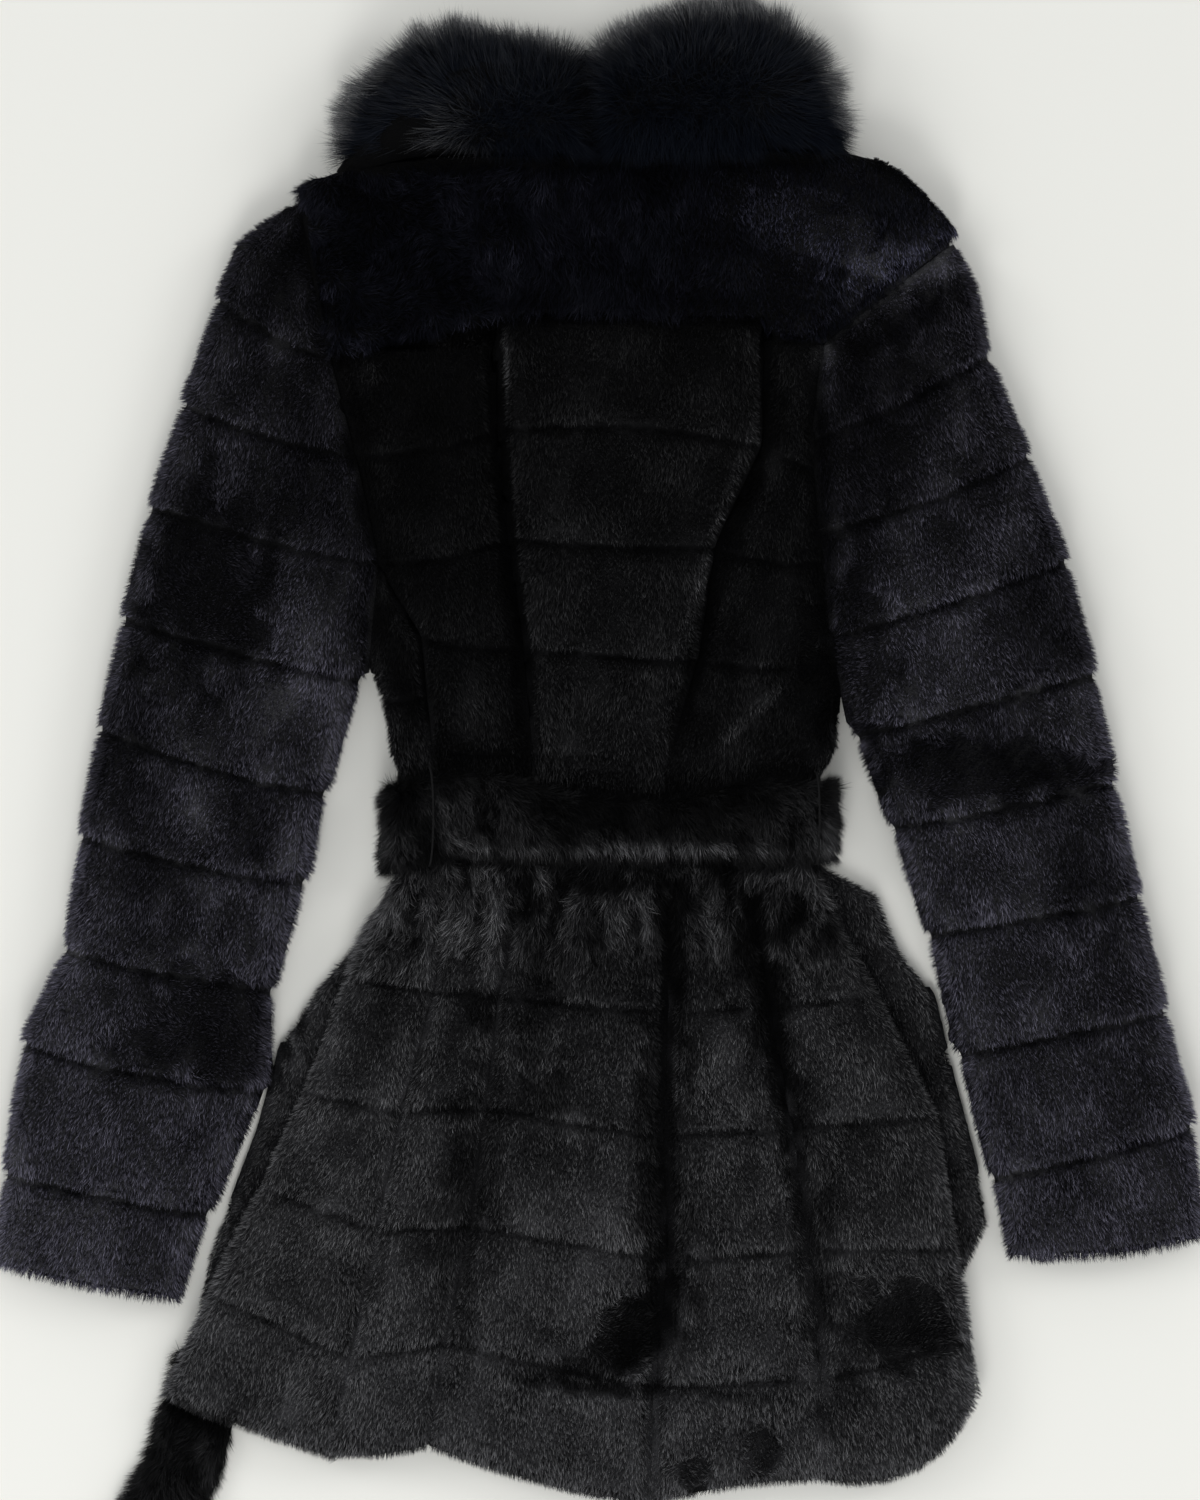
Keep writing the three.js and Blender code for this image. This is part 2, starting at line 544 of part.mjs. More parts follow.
// A sleeve is a tube pressed flat: rounded free edges, a flat underside, and a slit inside
function sleeve(lines, outerIsLeft) {
  const shares = sharesAcross(Math.max(...lines.map(lineLength)));
  const foot = lines[lines.length - 1];
  const grid = tierRows(lines).map((row) => {
    const width = lineLength(row.line);
    const joined = clamp01(joinedLines - lines.indexOf(row.before) - row.along);
    const jut = tierJut * (1 - row.rise);
    return shares.map((share) => {
      const { x, y, crown } = rowPoint(row, share);
      const outer = (outerIsLeft ? share : 1 - share) * width;
      const inner = width - outer;
      const outerMove = jut * clamp01(1 - outer / edgeRadius);
      const innerMove = jut * (1 - joined) * clamp01(1 - inner / edgeRadius);
      const move = (outerMove - innerMove) * (outerIsLeft ? 1 : -1) / width;
      const edges = [
        { distance: outer, height: edgeHeight + 1, radius: edgeRadius },
        { distance: inner, height: lerp(edgeHeight + 1, armholeHeight, joined), radius: edgeRadius },
        { distance: distanceTo(foot, share, x, y), height: cuffHeight, radius: cuffRadius },
        { distance: distanceTo(lines[0], share, x, y), height: shoulderHeight, radius: shoulderRadius },
      ];
      const outerRound = quarterRound(outer, underRadius);
      const innerRound = lerp(quarterRound(inner, underRadius), 1, joined);
      return {
        x: x + (row.line.rightX - row.line.leftX) * move,
        y: y + (row.line.rightY - row.line.leftY) * move,
        top: roundedHeight(edgeHeight, crown, edges) - creaseDepth(x, y),
        base: edgeHeight - (edgeHeight + cutDepth) * outerRound * innerRound,
      };
    });
  });
  return flatUnder(gridBody(grid), 0).subtract(sleeveSlit(lines, outerIsLeft));
}

// The slit inside a sleeve, run out past the cuff, and past the armhole where it is joined
function sleeveSlit(lines, outerIsLeft) {
  const grid = lines.map((line, index) => {
    const outerShare = slitInset / lineLength(line);
    const innerShare = index < joinedLines ? -slitPast / lineLength(line) : outerShare;
    const leftShare = outerIsLeft ? outerShare : innerShare;
    const rightShare = 1 - (outerIsLeft ? innerShare : outerShare);
    const past = index === lines.length - 1 ? slitPast : 0;
    return [leftShare, rightShare].map((share) => {
      const point = linePoint(line, share);
      return { x: point.x, y: point.y - past, top: slitTop, base: slitFloor };
    });
  });
  return gridBody(grid.slice(slitFirstLine));
}

// A front panel: a plain slab of flattened fur, rounded where its outer edge shows
function frontPanel(lines, outerIsLeft) {
  const grid = lines.map((line) => frontShares.map((share) => {
    const { x, y } = linePoint(line, share);
    const outer = (outerIsLeft ? share : 1 - share) * lineLength(line);
    const top = lerp(frontEdge, frontTop, quarterRound(outer, frontRound));
    return { x, y, top, base: -cutDepth };
  }));
  return flatUnder(gridBody(grid), 0);
}

// Half of the collar: a thick roll that lies on the surface and stands high over the neck
function collarHalf(outerPoints, neckPoints, notchIsRight) {
  const outerCurve = curveThrough(outerPoints);
  const neckCurve = curveThrough(neckPoints);
  const notchInset = (notchIsRight ? -1 : 1) * half;
  const span = outerPoints[outerPoints.length - 1][0] - outerPoints[0][0];
  const grid = collarRows.map((along) => {
    const row = [];
    for (let j = 0; j <= collarColumns; j += 1) {
      const share = j / collarColumns;
      const outer = outerCurve.getPoint(share);
      const neck = neckCurve.getPoint(share);
      const notchShare = notchIsRight ? 1 - share : share;
      const x = lerp(outer.x, neck.x, along) + notchInset * clamp01(1 - notchShare * 6);
      const y = lerp(outer.y, neck.y - neckOverrun, along);
      const depth = outer.distanceTo(neck);
      const distances = {
        outer: along * depth,
        neck: (1 - along) * depth,
        notch: notchShare * span,
        end: (1 - notchShare) * span,
      };
      const edges = collarEdges.map((edge) => ({ ...edge, distance: distances[edge.name] }));
      const under = quarterRound(distances.outer, underRadius) * quarterRound(distances.end, underRadius);
      row.push({
        x,
        y,
        top: roundedHeight(edgeHeight, collarCrown, edges),
        base: edgeHeight - (edgeHeight + cutDepth) * under,
      });
    }
    return row;
  });
  return flatUnder(gridBody(grid), 0);
}

// The belt over the back: flat on the pressed waist, wrapped down to the surface at its ends
function beltBack() {
  const upper = curveThrough(beltUpper);
  const lower = curveThrough(beltLower);
  const leftX = beltUpper[0][0];
  const rightX = beltUpper[beltUpper.length - 1][0];
  const innerLeft = bodyLeftAtWaist - wrapClearance;
  const innerRight = bodyRightAtWaist + wrapClearance;
  const stations = [leftX, leftX + wrapRound, innerLeft, innerLeft + wrapStep];
  const count = Math.round((innerRight - innerLeft) / beltSpacing);
  for (let k = 1; k < count; k += 1) stations.push(lerp(innerLeft, innerRight, k / count));
  stations.push(innerRight - wrapStep, innerRight, rightX - wrapRound, rightX);
  const grid = beltRows.map((along) => stations.map((x) => {
    const share = (x - leftX) / (rightX - leftX);
    const upperY = heightAtX(upper, x, share);
    const lowerY = heightAtX(lower, x, share);
    const inside = x > innerLeft && x < innerRight;
    const width = upperY - lowerY;
    const edges = [
      { distance: along * width, ...beltSides },
      { distance: (1 - along) * width, ...beltSides },
      { distance: x - leftX, ...beltEnds },
      { distance: rightX - x, ...beltEnds },
    ];
    const top = roundedHeight(0, beltFloor + beltPile, edges);
    return { x, y: lerp(upperY, lowerY, along), top, base: inside ? beltFloor : 0 };
  }));
  return gridBody(grid);
}

// The curve's Y where it passes a given X, found by halving from a first guess along it
const halvings = 24;
function heightAtX(curve, x, guess) {
  let low = 0;
  let high = 1;
  let share = guess;
  for (let k = 0; k < halvings; k += 1) {
    if (curve.getPoint(share).x < x) low = share;
    else high = share;
    share = (low + high) / 2;
  }
  return curve.getPoint(share).y;
}

function beltEnd() {
  const middle = curveThrough(beltEndMiddle);
  const grid = beltEndShares.map((share) => {
    const point = middle.getPoint(share);
    const along = middle.getTangent(share);
    const tip = clamp01((share - beltTipStart) / (1 - beltTipStart));
    const halfWidth = beltEndHalf * (1 - beltTipTaper * tip * tip);
    return beltEndAcross.map((side) => {
      const edges = [
        { distance: (1 - Math.abs(side)) * halfWidth, ...beltEndEdge },
        { distance: (1 - share) * middle.getLength(), ...beltEndEdge },
      ];
      return {
        x: point.x - along.y * side * halfWidth,
        y: point.y + along.x * side * halfWidth,
        top: roundedHeight(0, beltEndTop, edges),
        base: -cutDepth,
      };
    });
  });
  return flatUnder(gridBody(grid), 0);
}

// A thread loop that passes over the belt from the waist above it to the waist below it
function beltLoop(x, upperY, lowerY) {
  const reach = beltFloor + beltPile + layerGap;
  const foot = waistTop + layerGap;
  const outside = [
    [upperY + loopStand, foot],
    [upperY + loopStand - 1, reach - loopBend],
    [upperY - loopBend, reach + loopWidth],
    [lowerY + loopBend, reach + loopWidth],
    [lowerY - loopStand + 1, reach - loopBend],
    [lowerY - loopStand, foot],
  ];
  const inside = [
    [lowerY - loopStand + loopWidth, foot],
    [lowerY - loopStand + 1 + loopWidth, reach - loopBend - 1],
    [lowerY + loopBend + 1, reach],
    [upperY - loopBend - 1, reach],
    [upperY + loopStand - 1 - loopWidth, reach - loopBend - 1],
    [upperY + loopStand - loopWidth, foot],
  ];
  const outline = new THREE.Shape([...outside, ...inside].map(([y, z]) => new THREE.Vector2(y, z)));
  const geometry = new THREE.ExtrudeGeometry(outline, { depth: loopWidth, bevelEnabled: false, steps: 1 });
  geometry.rotateX(Math.PI / 2);
  geometry.rotateZ(Math.PI / 2);
  geometry.translate(x, 0, 0);
  return geometry;
}

function geometryFrom(body) {
  const mesh = body.getMesh();
  const geometry = new THREE.BufferGeometry();
  geometry.setAttribute('position', new THREE.BufferAttribute(new Float32Array(mesh.vertProperties), 3));
  geometry.setIndex(new THREE.BufferAttribute(new Uint32Array(mesh.triVerts), 1));
  return geometry;
}

const coat = new THREE.Group();

function add(name, shape, material) {
  const geometry = shape instanceof THREE.BufferGeometry ? shape : geometryFrom(shape);
  const mesh = new THREE.Mesh(geometry, material);
  mesh.name = name;
  coat.add(mesh);
}

// Back bodice
const shoulderEdge = { height: backFloor + 4, radius: 30 };
const armholeEdge = { height: armholeHeight, radius: edgeRadius };
const grooveEdge = { height: 14.5, radius: 8, ledge: 2.5 };
const overlapEdge = { height: 19, radius: 6 };
const sunkEdge = { height: 14.5, radius: 20, ledge: 2.5 };
const yoke = backPanel(yokeLines, shoulderEdge, shoulderEdge);
const yokeBesideSleeves = yoke.subtract(beyondLeftBody).subtract(beyondRightBody);
add('back_yoke', yokeBesideSleeves.subtract(belowYokeSeam).subtract(aboveNeckSeam), furColour);
const leftColumn = backPanel(seamed(backLeftLines, 0, half), armholeEdge, grooveEdge);
add('back_left', leftColumn.subtract(beyondLeftBody).subtract(aboveYokeSeam), furColour);
const centreColumn = backPanel(seamed(backCentreLines, half, half), grooveEdge, overlapEdge);
add('back_centre', centreColumn.subtract(aboveYokeSeam), furColour);
const rightColumn = backPanel(seamed(backRightLines, half, 0), sunkEdge, armholeEdge);
add('back_right', rightColumn.subtract(beyondRightBody).subtract(aboveYokeSeam), furColour);
const sidePiece = backPanel(seamed(sideLeftLines, 0, half), shoulderEdge, grooveEdge);
add('side_left', sidePiece.subtract(beyondLeftBody), furColour);

// Back skirt
for (let gore = 0; gore < skirtValleys.length - 1; gore += 1) {
  const body = backPanel(goreLines(gore), skirtValleys[gore], skirtValleys[gore + 1], true);
  add(`skirt_${gore + 1}`, body, furColour);
}

// Fronts and sleeves
const leftFront = frontPanel(seamed(frontLeftLines, 0, half), true);
add('front_left', leftFront.subtract(beyondLeftBody), furColour);
const rightFront = frontPanel(seamed(frontRightLines, half, 0), false);
add('front_right', rightFront.subtract(beyondRightBody), furColour);
add('sleeve_left', sleeve(sleeveLeftLines, true).subtract(beyondLeftSleeve), furColour);
add('sleeve_right', sleeve(sleeveRightLines, false).subtract(beyondRightSleeve), furColour);

// Collar
add('collar_left', collarHalf(collarLeftOuter, collarLeftNeck, true).subtract(belowNeckSeam), foxColour);
add('collar_right', collarHalf(collarRightOuter, collarRightNeck, false).subtract(belowNeckSeam), foxColour);

// Belt
add('belt_back', beltBack(), furColour);
add('belt_end', beltEnd(), furColour);
for (const loop of loops) add(loop.name, beltLoop(loop.x, loop.upperY, loop.lowerY), threadColour);

export default coat;
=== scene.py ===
import json
import math

import bmesh
import bpy
import numpy as np
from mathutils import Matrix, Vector
from mathutils.bvhtree import BVHTree

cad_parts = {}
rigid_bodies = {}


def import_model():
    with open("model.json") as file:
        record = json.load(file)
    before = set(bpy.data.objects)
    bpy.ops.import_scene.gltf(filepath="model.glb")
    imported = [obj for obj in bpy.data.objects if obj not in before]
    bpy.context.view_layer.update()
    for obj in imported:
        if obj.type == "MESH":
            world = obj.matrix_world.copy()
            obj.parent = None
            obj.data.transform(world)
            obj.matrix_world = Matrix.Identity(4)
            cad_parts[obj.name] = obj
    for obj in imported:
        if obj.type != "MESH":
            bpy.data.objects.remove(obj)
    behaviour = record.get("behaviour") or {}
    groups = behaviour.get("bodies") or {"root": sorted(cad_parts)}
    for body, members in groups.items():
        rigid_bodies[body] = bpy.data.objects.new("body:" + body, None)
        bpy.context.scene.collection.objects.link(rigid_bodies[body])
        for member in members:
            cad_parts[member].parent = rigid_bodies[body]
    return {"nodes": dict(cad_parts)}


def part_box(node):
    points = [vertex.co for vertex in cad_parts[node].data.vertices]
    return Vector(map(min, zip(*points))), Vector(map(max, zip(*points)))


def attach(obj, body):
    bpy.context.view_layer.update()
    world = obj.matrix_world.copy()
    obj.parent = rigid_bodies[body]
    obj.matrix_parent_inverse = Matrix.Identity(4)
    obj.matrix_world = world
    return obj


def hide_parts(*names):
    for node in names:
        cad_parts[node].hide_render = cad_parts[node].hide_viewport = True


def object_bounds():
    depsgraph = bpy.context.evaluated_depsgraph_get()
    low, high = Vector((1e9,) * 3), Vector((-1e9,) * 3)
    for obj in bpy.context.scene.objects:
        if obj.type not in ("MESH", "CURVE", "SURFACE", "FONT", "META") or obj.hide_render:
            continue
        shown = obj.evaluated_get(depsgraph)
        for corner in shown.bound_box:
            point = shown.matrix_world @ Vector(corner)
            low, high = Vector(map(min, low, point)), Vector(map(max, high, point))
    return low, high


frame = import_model()
solid_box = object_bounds()
nodes = frame["nodes"]
linked = bpy.context.scene.collection.objects

# Camera and studio
# The coat lies on a pale floor. The camera looks straight down on it from high up, and the
# light is soft: a bright room, one wide lamp beyond the hem, and a weaker one on each side.
frame_length = 0.9
frame_middle = (0.0, 0.042)
camera_height = 3.6
camera_data = bpy.data.cameras.new("camera")
camera_data.lens = camera_data.sensor_width * camera_height / frame_length
camera = bpy.data.objects.new("camera", camera_data)
camera.location = (*frame_middle, camera_height)
linked.link(camera)
bpy.context.scene.camera = camera
bpy.context.scene.view_settings.view_transform = "Standard"

room = bpy.data.worlds.new("room")
room.use_nodes = True
room.node_tree.nodes["Background"].inputs["Color"].default_value = (0.97, 0.985, 1.0, 1.0)
room.node_tree.nodes["Background"].inputs["Strength"].default_value = 0.68
bpy.context.scene.world = room


def soft_lamp(name, place, width, power):
    data = bpy.data.lights.new(name, "AREA")
    data.shape = "DISK"
    data.size = width
    data.energy = power
    lamp = bpy.data.objects.new(name, data)
    lamp.location = place
    aim = Vector((*frame_middle, 0.0)) - lamp.location
    lamp.rotation_mode = "QUATERNION"
    lamp.rotation_quaternion = aim.to_track_quat("-Z", "Y")
    linked.link(lamp)


soft_lamp("lamp below the hem", (-0.3, -2.0, 2.0), 1.2, 24)
soft_lamp("lamp at the right sleeve", (2.0, 0.9, 1.6), 1.0, 9)
soft_lamp("lamp at the left sleeve", (-2.0, 0.7, 1.6), 1.0, 10)

floor_half = 6.0
floor_drop = 0.0004
floor_mesh = bpy.data.meshes.new("floor")
floor_sides = [(-1, -1), (1, -1), (1, 1), (-1, 1)]
floor_corners = [(x * floor_half, y * floor_half, -floor_drop) for x, y in floor_sides]
floor_mesh.from_pydata(floor_corners, [], [(0, 1, 2, 3)])
floor = bpy.data.objects.new("floor", floor_mesh)
floor_paint = bpy.data.materials.new("floor")
floor_paint.use_nodes = True
floor_shader = floor_paint.node_tree.nodes["Principled BSDF"]
floor_shader.inputs["Base Color"].default_value = (0.845, 0.838, 0.79, 1.0)
floor_shader.inputs["Roughness"].default_value = 0.9
floor_mesh.materials.append(floor_paint)
linked.link(floor)

# Two fronts
# Each is one piece of sheared fur from shoulder to hem, lowest in the stack and face down on
# the floor. Only their edges show, at the sides and under the hem of the back.

# How high the coat reaches at each place: what lies lower than this is covered
sky_step = 0.002
sky_corners = []
sky_faces = []
for node in nodes.values():
    first = len(sky_corners)
    sky_corners += [corner.co.copy() for corner in node.data.vertices]
    sky_faces += [[first + corner for corner in face.vertices] for face in node.data.polygons]
solids = BVHTree.FromPolygons(sky_corners, sky_faces)
sky_low, sky_high = solid_box
sky_columns = int((sky_high[0] - sky_low[0]) / sky_step) + 1
sky_rows = int((sky_high[1] - sky_low[1]) / sky_step) + 1
sky_top = 0.2
skyline = np.full((sky_columns, sky_rows), -1.0)
for column in range(sky_columns):
    for row in range(sky_rows):
        above = Vector((sky_low[0] + column * sky_step, sky_low[1] + row * sky_step, sky_top))
        hit = solids.ray_cast(above, Vector((0, 0, -1)))[0]
        if hit:
            skyline[column, row] = hit.z

# The same heights, evened out over 10 mm all round each place
spread = 5
shifts = range(-spread, spread + 1)
even_sky = np.pad(np.maximum(skyline, 0), spread)
for axis in (0, 1):
    even_sky = sum(np.roll(even_sky, shift, axis) for shift in shifts) / (2 * spread + 1)
even_sky = even_sky[spread:-spread, spread:-spread]


def read_sky(sky, places, outside):
    column = np.rint((places[:, 0] - sky_low[0]) / sky_step).astype(int)
    row = np.rint((places[:, 1] - sky_low[1]) / sky_step).astype(int)
    inside = (column >= 0) & (column < sky_columns) & (row >= 0) & (row < sky_rows)
    height = np.full(len(places), outside)
    height[inside] = sky[column[inside], row[inside]]
    return height


def height_at(places):
    return read_sky(skyline, places, -1.0)


# A place this much lower than its surroundings is painted in full shade, but for a small rest, and its
# fur grows thinnest
open_depth = 0.006
least_open = 0.08
most_open = 1.3


# How open a place is to the light: over 1 on lips and ridges, near 0 down in grooves and folds. It
# sets the painted light and shade of the fur there, and how thick the fur grows.
def openness_at(places):
    standing = places[:, 2] - read_sky(even_sky, places, 0.0)
    return np.clip(1 + standing / open_depth, least_open, most_open)


def unit(vectors):
    return vectors / np.maximum(np.linalg.norm(vectors, axis=1, keepdims=True), 1e-9)


# A value from about -1 to 1 that wanders softly over the plan, in patches of the given size
def drift(places, size, seed):
    random = np.random.default_rng(seed)
    total = np.zeros(len(places))
    waves = 8
    for _ in range(waves):
        angle = random.uniform(0, 2 * math.pi)
        length = 2 * size * random.uniform(0.7, 1.7)
        phase = random.uniform(0, 2 * math.pi)
        run = places[:, 0] * math.cos(angle) + places[:, 1] * math.sin(angle)
        total += np.sin(run * 2 * math.pi / length + phase + 0.6 * np.sin(total))
    return total / math.sqrt(waves)


# A piece is sewn to a neighbour that stands this much higher within this reach, and swells
# towards it
seam_reach = 0.006
seam_rise = 0.002
seam_swell = 0.0012
# The share of the even, fine faces that a pelt keeps, and the size of its soft lumps
pelt_faces_kept = 0.2
lump_size = 0.014


# The leather and underfur of one piece: its solid, softened, and drawn in under the fur.
# Where another piece stands close beside it the two are sewn together, and it stays full.
def make_pelt(name, depth, voxel=0.003, lumps=0.0008, seed=1):
    pelt = bpy.data.objects.new(name + "_pelt", nodes[name].data.copy())
    linked.link(pelt)
    even = pelt.modifiers.new("even", "REMESH")
    even.mode = "VOXEL"
    even.voxel_size = voxel
    soft = pelt.modifiers.new("soft", "SMOOTH")
    soft.factor = 0.5
    soft.iterations = 2
    thin = pelt.modifiers.new("thin", "DECIMATE")
    thin.ratio = pelt_faces_kept
    apply_modifiers(pelt)
    mesh = pelt.data
    count = len(mesh.vertices)
    places = np.empty(count * 3)
    facing = np.empty(count * 3)
    mesh.vertices.foreach_get("co", places)
    mesh.vertices.foreach_get("normal", facing)
    places = places.reshape(-1, 3)
    facing = facing.reshape(-1, 3)
    upward = np.clip(facing[:, 2] * 2, 0, 1)
    beside = places + facing * [seam_reach, seam_reach, 0]
    sewn = height_at(beside) > places[:, 2] + seam_rise
    places[:, :2] -= facing[:, :2] * np.where(sewn, -seam_swell, depth / 2)[:, None]
    places[:, 2] -= np.maximum(facing[:, 2], 0) * depth
    places[:, 2] += upward * lumps * drift(places, lump_size, seed)
    places[:, 2] = np.maximum(places[:, 2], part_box(name)[0][2])
    mesh.vertices.foreach_set("co", places.ravel())
    mesh.update()
    mesh.materials.clear()
    for face in mesh.polygons:
        face.use_smooth = True
    return pelt


def apply_modifiers(piece):
    shaped = piece.evaluated_get(bpy.context.evaluated_depsgraph_get())
    mesh = bpy.data.meshes.new_from_object(shaped)
    piece.modifiers.clear()
    piece.data = mesh


# A place is covered where something stands this much higher, this close beside it
covered_reach = 0.004
covered_rise = 0.003

# A hair stands in a groove if the surface this far ahead of it is this high. It leans less there.
groove_reach = 0.012
groove_floor = 0.01
groove_lean = 0.35

# The step under a lip is a face this short along the fur that isn't level. An underside faces
# down by this much, and only faces that look up turn the fur that grows on them.
step_length = 0.0026
level_facing = 0.9
underside_facing = -0.4
barely_up = 0.03
own_facing = 0.15

# Fur is thinnest where a place is less open than this, and thickens over the range above it
closed = 0.12
closed_range = 0.35
thinnest_fur = 0.15


# Roots of hairs spread over what shows of a solid: their places, the way the surface faces,
# and the way the fur runs there. The narrow steps under the tiers' lips stay bare, the fur is
# thin down in the folds, and beside a groove it stands up and leaves the groove open.
# crisp: from 0, fur closes over the seams, to 1, they show as clean dark lines
def roots_on(name, hairs_per_mm2, run_top, run_foot, seed, crisp=1.0):
    random = np.random.default_rng(seed)
    mesh = nodes[name].data
    mesh.calc_loop_triangles()
    corners = np.empty(len(mesh.vertices) * 3)
    mesh.vertices.foreach_get("co", corners)
    corners = corners.reshape(-1, 3)
    triangles = np.empty(len(mesh.loop_triangles) * 3, dtype=np.int64)
    mesh.loop_triangles.foreach_get("vertices", triangles)
    shared, where = np.unique(np.rint(corners * 1e5).astype(np.int64), axis=0, return_inverse=True)
    where = where.reshape(-1)
    triangles = triangles.reshape(-1, 3)
    a, b, c = (corners[triangles[:, k]] for k in range(3))
    cross = np.cross(b - a, c - a)
    area = np.linalg.norm(cross, axis=1) / 2
    facing = unit(cross)
    run = fur_run((a + b + c) / 3, corners, run_top, run_foot)
    along = np.stack([(corner * run).sum(axis=1) for corner in (a, b, c)])
    step = (np.ptp(along, axis=0) < step_length) & (facing[:, 2] < level_facing)
    smooth = (facing[:, 2] > barely_up) & ~step
    pull = np.zeros((len(shared), 3))
    for k in range(3):
        np.add.at(pull, where[triangles[smooth, k]], cross[smooth])
    share = np.where(facing[:, 2] < underside_facing, 0, area)
    share *= np.where(step, 1 - crisp, 1)
    total = int(share.sum() * 1e6 * hairs_per_mm2)
    chosen = random.choice(len(share), total, p=share / share.sum())
    u = np.sqrt(random.random(total))
    v = random.random(total)
    weights = np.stack([1 - u, u * (1 - v), u * v])
    places = sum(weights[k][:, None] * corners[triangles[chosen, k]] for k in range(3))
    leaning = sum(weights[k][:, None] * unit(pull[where[triangles[chosen, k]]]) for k in range(3))
    leaning = unit(leaning + own_facing * facing[chosen])
    beside = height_at(places + facing[chosen] * [covered_reach, covered_reach, 0])
    thickness = np.clip((openness_at(places) - closed) / closed_range, thinnest_fur, 1)
    crowded = 1 - crisp + crisp * thickness
    shown = (beside < places[:, 2] + covered_rise) & (random.random(total) < crowded)
    places = places[shown]
    leaning = leaning[shown]
    in_a_groove = height_at(places + leaning * [groove_reach, groove_reach, 0]) > groove_floor
    leaning[:, :2] *= np.where(in_a_groove, groove_lean, 1)[:, None]
    return places, unit(leaning), fur_run(places, corners, run_top, run_foot)


# Which way the fur runs in plan, turning evenly from the top of a piece to its foot
def fur_run(places, corners, run_top, run_foot):
    top = corners[:, 1].max()
    foot = corners[:, 1].min()
    share = ((top - places[:, 1]) / (top - foot))[:, None]
    plan = np.array(run_top) * (1 - share) + np.array(run_foot) * share
    return unit(np.column_stack([plan, np.zeros(len(places))]))


# The run of the fur wanders in wide patches and small ones, its rise in patches between the two
wide_patch = 0.03
small_patch = 0.008
rise_patch = 0.02
least_rise = 0.12
most_rise = 1.3


# Directions of hairs that lie along the run of the fur and stand up from it by an angle.
# swirl: how far the run wanders over the pelt; stray: how far single hairs leave it (radians)
def combed(places, leaning, run, rise, swirl, stray, seed):
    random = np.random.default_rng(seed)
    count = len(places)
    turn = swirl * drift(places, wide_patch, seed) + 0.6 * swirl * drift(places, small_patch, seed + 1)
    turn += stray * random.standard_normal(count)
    across = np.column_stack([-run[:, 1], run[:, 0], run[:, 2]])
    flow = run * np.cos(turn)[:, None] + across * np.sin(turn)[:, None]
    flat = unit(flow - leaning * (flow * leaning).sum(axis=1)[:, None])
    lift = rise + 0.22 * drift(places, rise_patch, seed + 2)
    lift = lift + 0.6 * stray * random.standard_normal(count)
    lift = np.clip(lift, least_rise, most_rise)[:, None]
    return flat * np.cos(lift) + leaning * np.sin(lift)


# A number from 0 to 1 for each cell of a grid, always the same for the same cell and seed
def cell_noise(cell, along_x, along_y, seed):
    return np.sin(cell[:, 0] * along_x + cell[:, 1] * along_y + seed) * 43758.5453 % 1


# Pulls the tips of neighbouring hairs together into small locks, one in each cell of a grid
def locked(places, directions, lengths, size, pull, seed):
    cell = np.floor(places[:, :2] / size)
    best = np.full(len(places), np.inf)
    centre = np.zeros((len(places), 2))
    for dx in (-1, 0, 1):
        for dy in (-1, 0, 1):
            near = cell + [dx, dy]
            in_cell = [cell_noise(near, 127.1, 311.7, seed), cell_noise(near, 269.5, 183.3, seed)]
            middle = (near + np.column_stack(in_cell)) * size
            away = np.linalg.norm(middle - places[:, :2], axis=1)
            closer = away < best
            best[closer] = away[closer]
            centre[closer] = middle[closer]
    drawn = directions.copy()
    drawn[:, :2] += (centre - places[:, :2]) * pull / lengths[:, None]
    return unit(drawn)


# Hairs stay this far above the floor
lowest_hair = 0.0004


# Hairs as one mesh: each is a ribbon of one or more parts that narrows to a point.
# Every vertex knows how far along its hair it is, and the shade of that hair: its own tone, with the
# painted light and shade of its place.
def make_hair(name, roots, directions, lengths, width, shade, parts=1, bend=None, seed=1):
    random = np.random.default_rng(seed)
    count = len(roots)
    side = unit(np.cross(directions, random.standard_normal((count, 3))))
    bend = np.zeros((count, 3)) if bend is None else bend
    levels = []
    for k in range(parts):
        share = k / parts
        middle = roots + (directions * share + bend * share * share) * lengths[:, None]
        half = side * width / 2 * (1 - share) ** 0.6
        levels += [middle - half, middle + half]
    levels.append(roots + (directions + bend) * lengths[:, None])
    points = np.stack(levels, axis=1)
    points[:, :, 2] = np.maximum(points[:, :, 2], lowest_hair)
    per_hair = 2 * parts + 1
    pattern = []
    for k in range(parts - 1):
        pattern += [(2 * k, 2 * k + 1, 2 * k + 3), (2 * k, 2 * k + 3, 2 * k + 2)]
    pattern.append((per_hair - 3, per_hair - 2, per_hair - 1))
    faces = (np.arange(count) * per_hair)[:, None, None] + np.array(pattern)[None]
    faces = faces.reshape(-1, 3)
    mesh = bpy.data.meshes.new(name)
    mesh.vertices.add(count * per_hair)
    mesh.vertices.foreach_set("co", points.ravel())
    mesh.loops.add(faces.size)
    mesh.loops.foreach_set("vertex_index", faces.ravel())
    mesh.polygons.add(len(faces))
    mesh.polygons.foreach_set("loop_start", np.arange(0, faces.size, 3))
    mesh.update(calc_edges=True)
    along = np.tile(np.append(np.repeat(np.arange(parts) / parts, 2), 1.0), count)
    shades = np.repeat(shade, per_hair)
    mesh.attributes.new("along", "FLOAT", "POINT").data.foreach_set("value", along)
    mesh.attributes.new("shade", "FLOAT", "POINT").data.foreach_set("value", shades)
    hair = bpy.data.objects.new(name, mesh)
    linked.link(hair)
    return hair


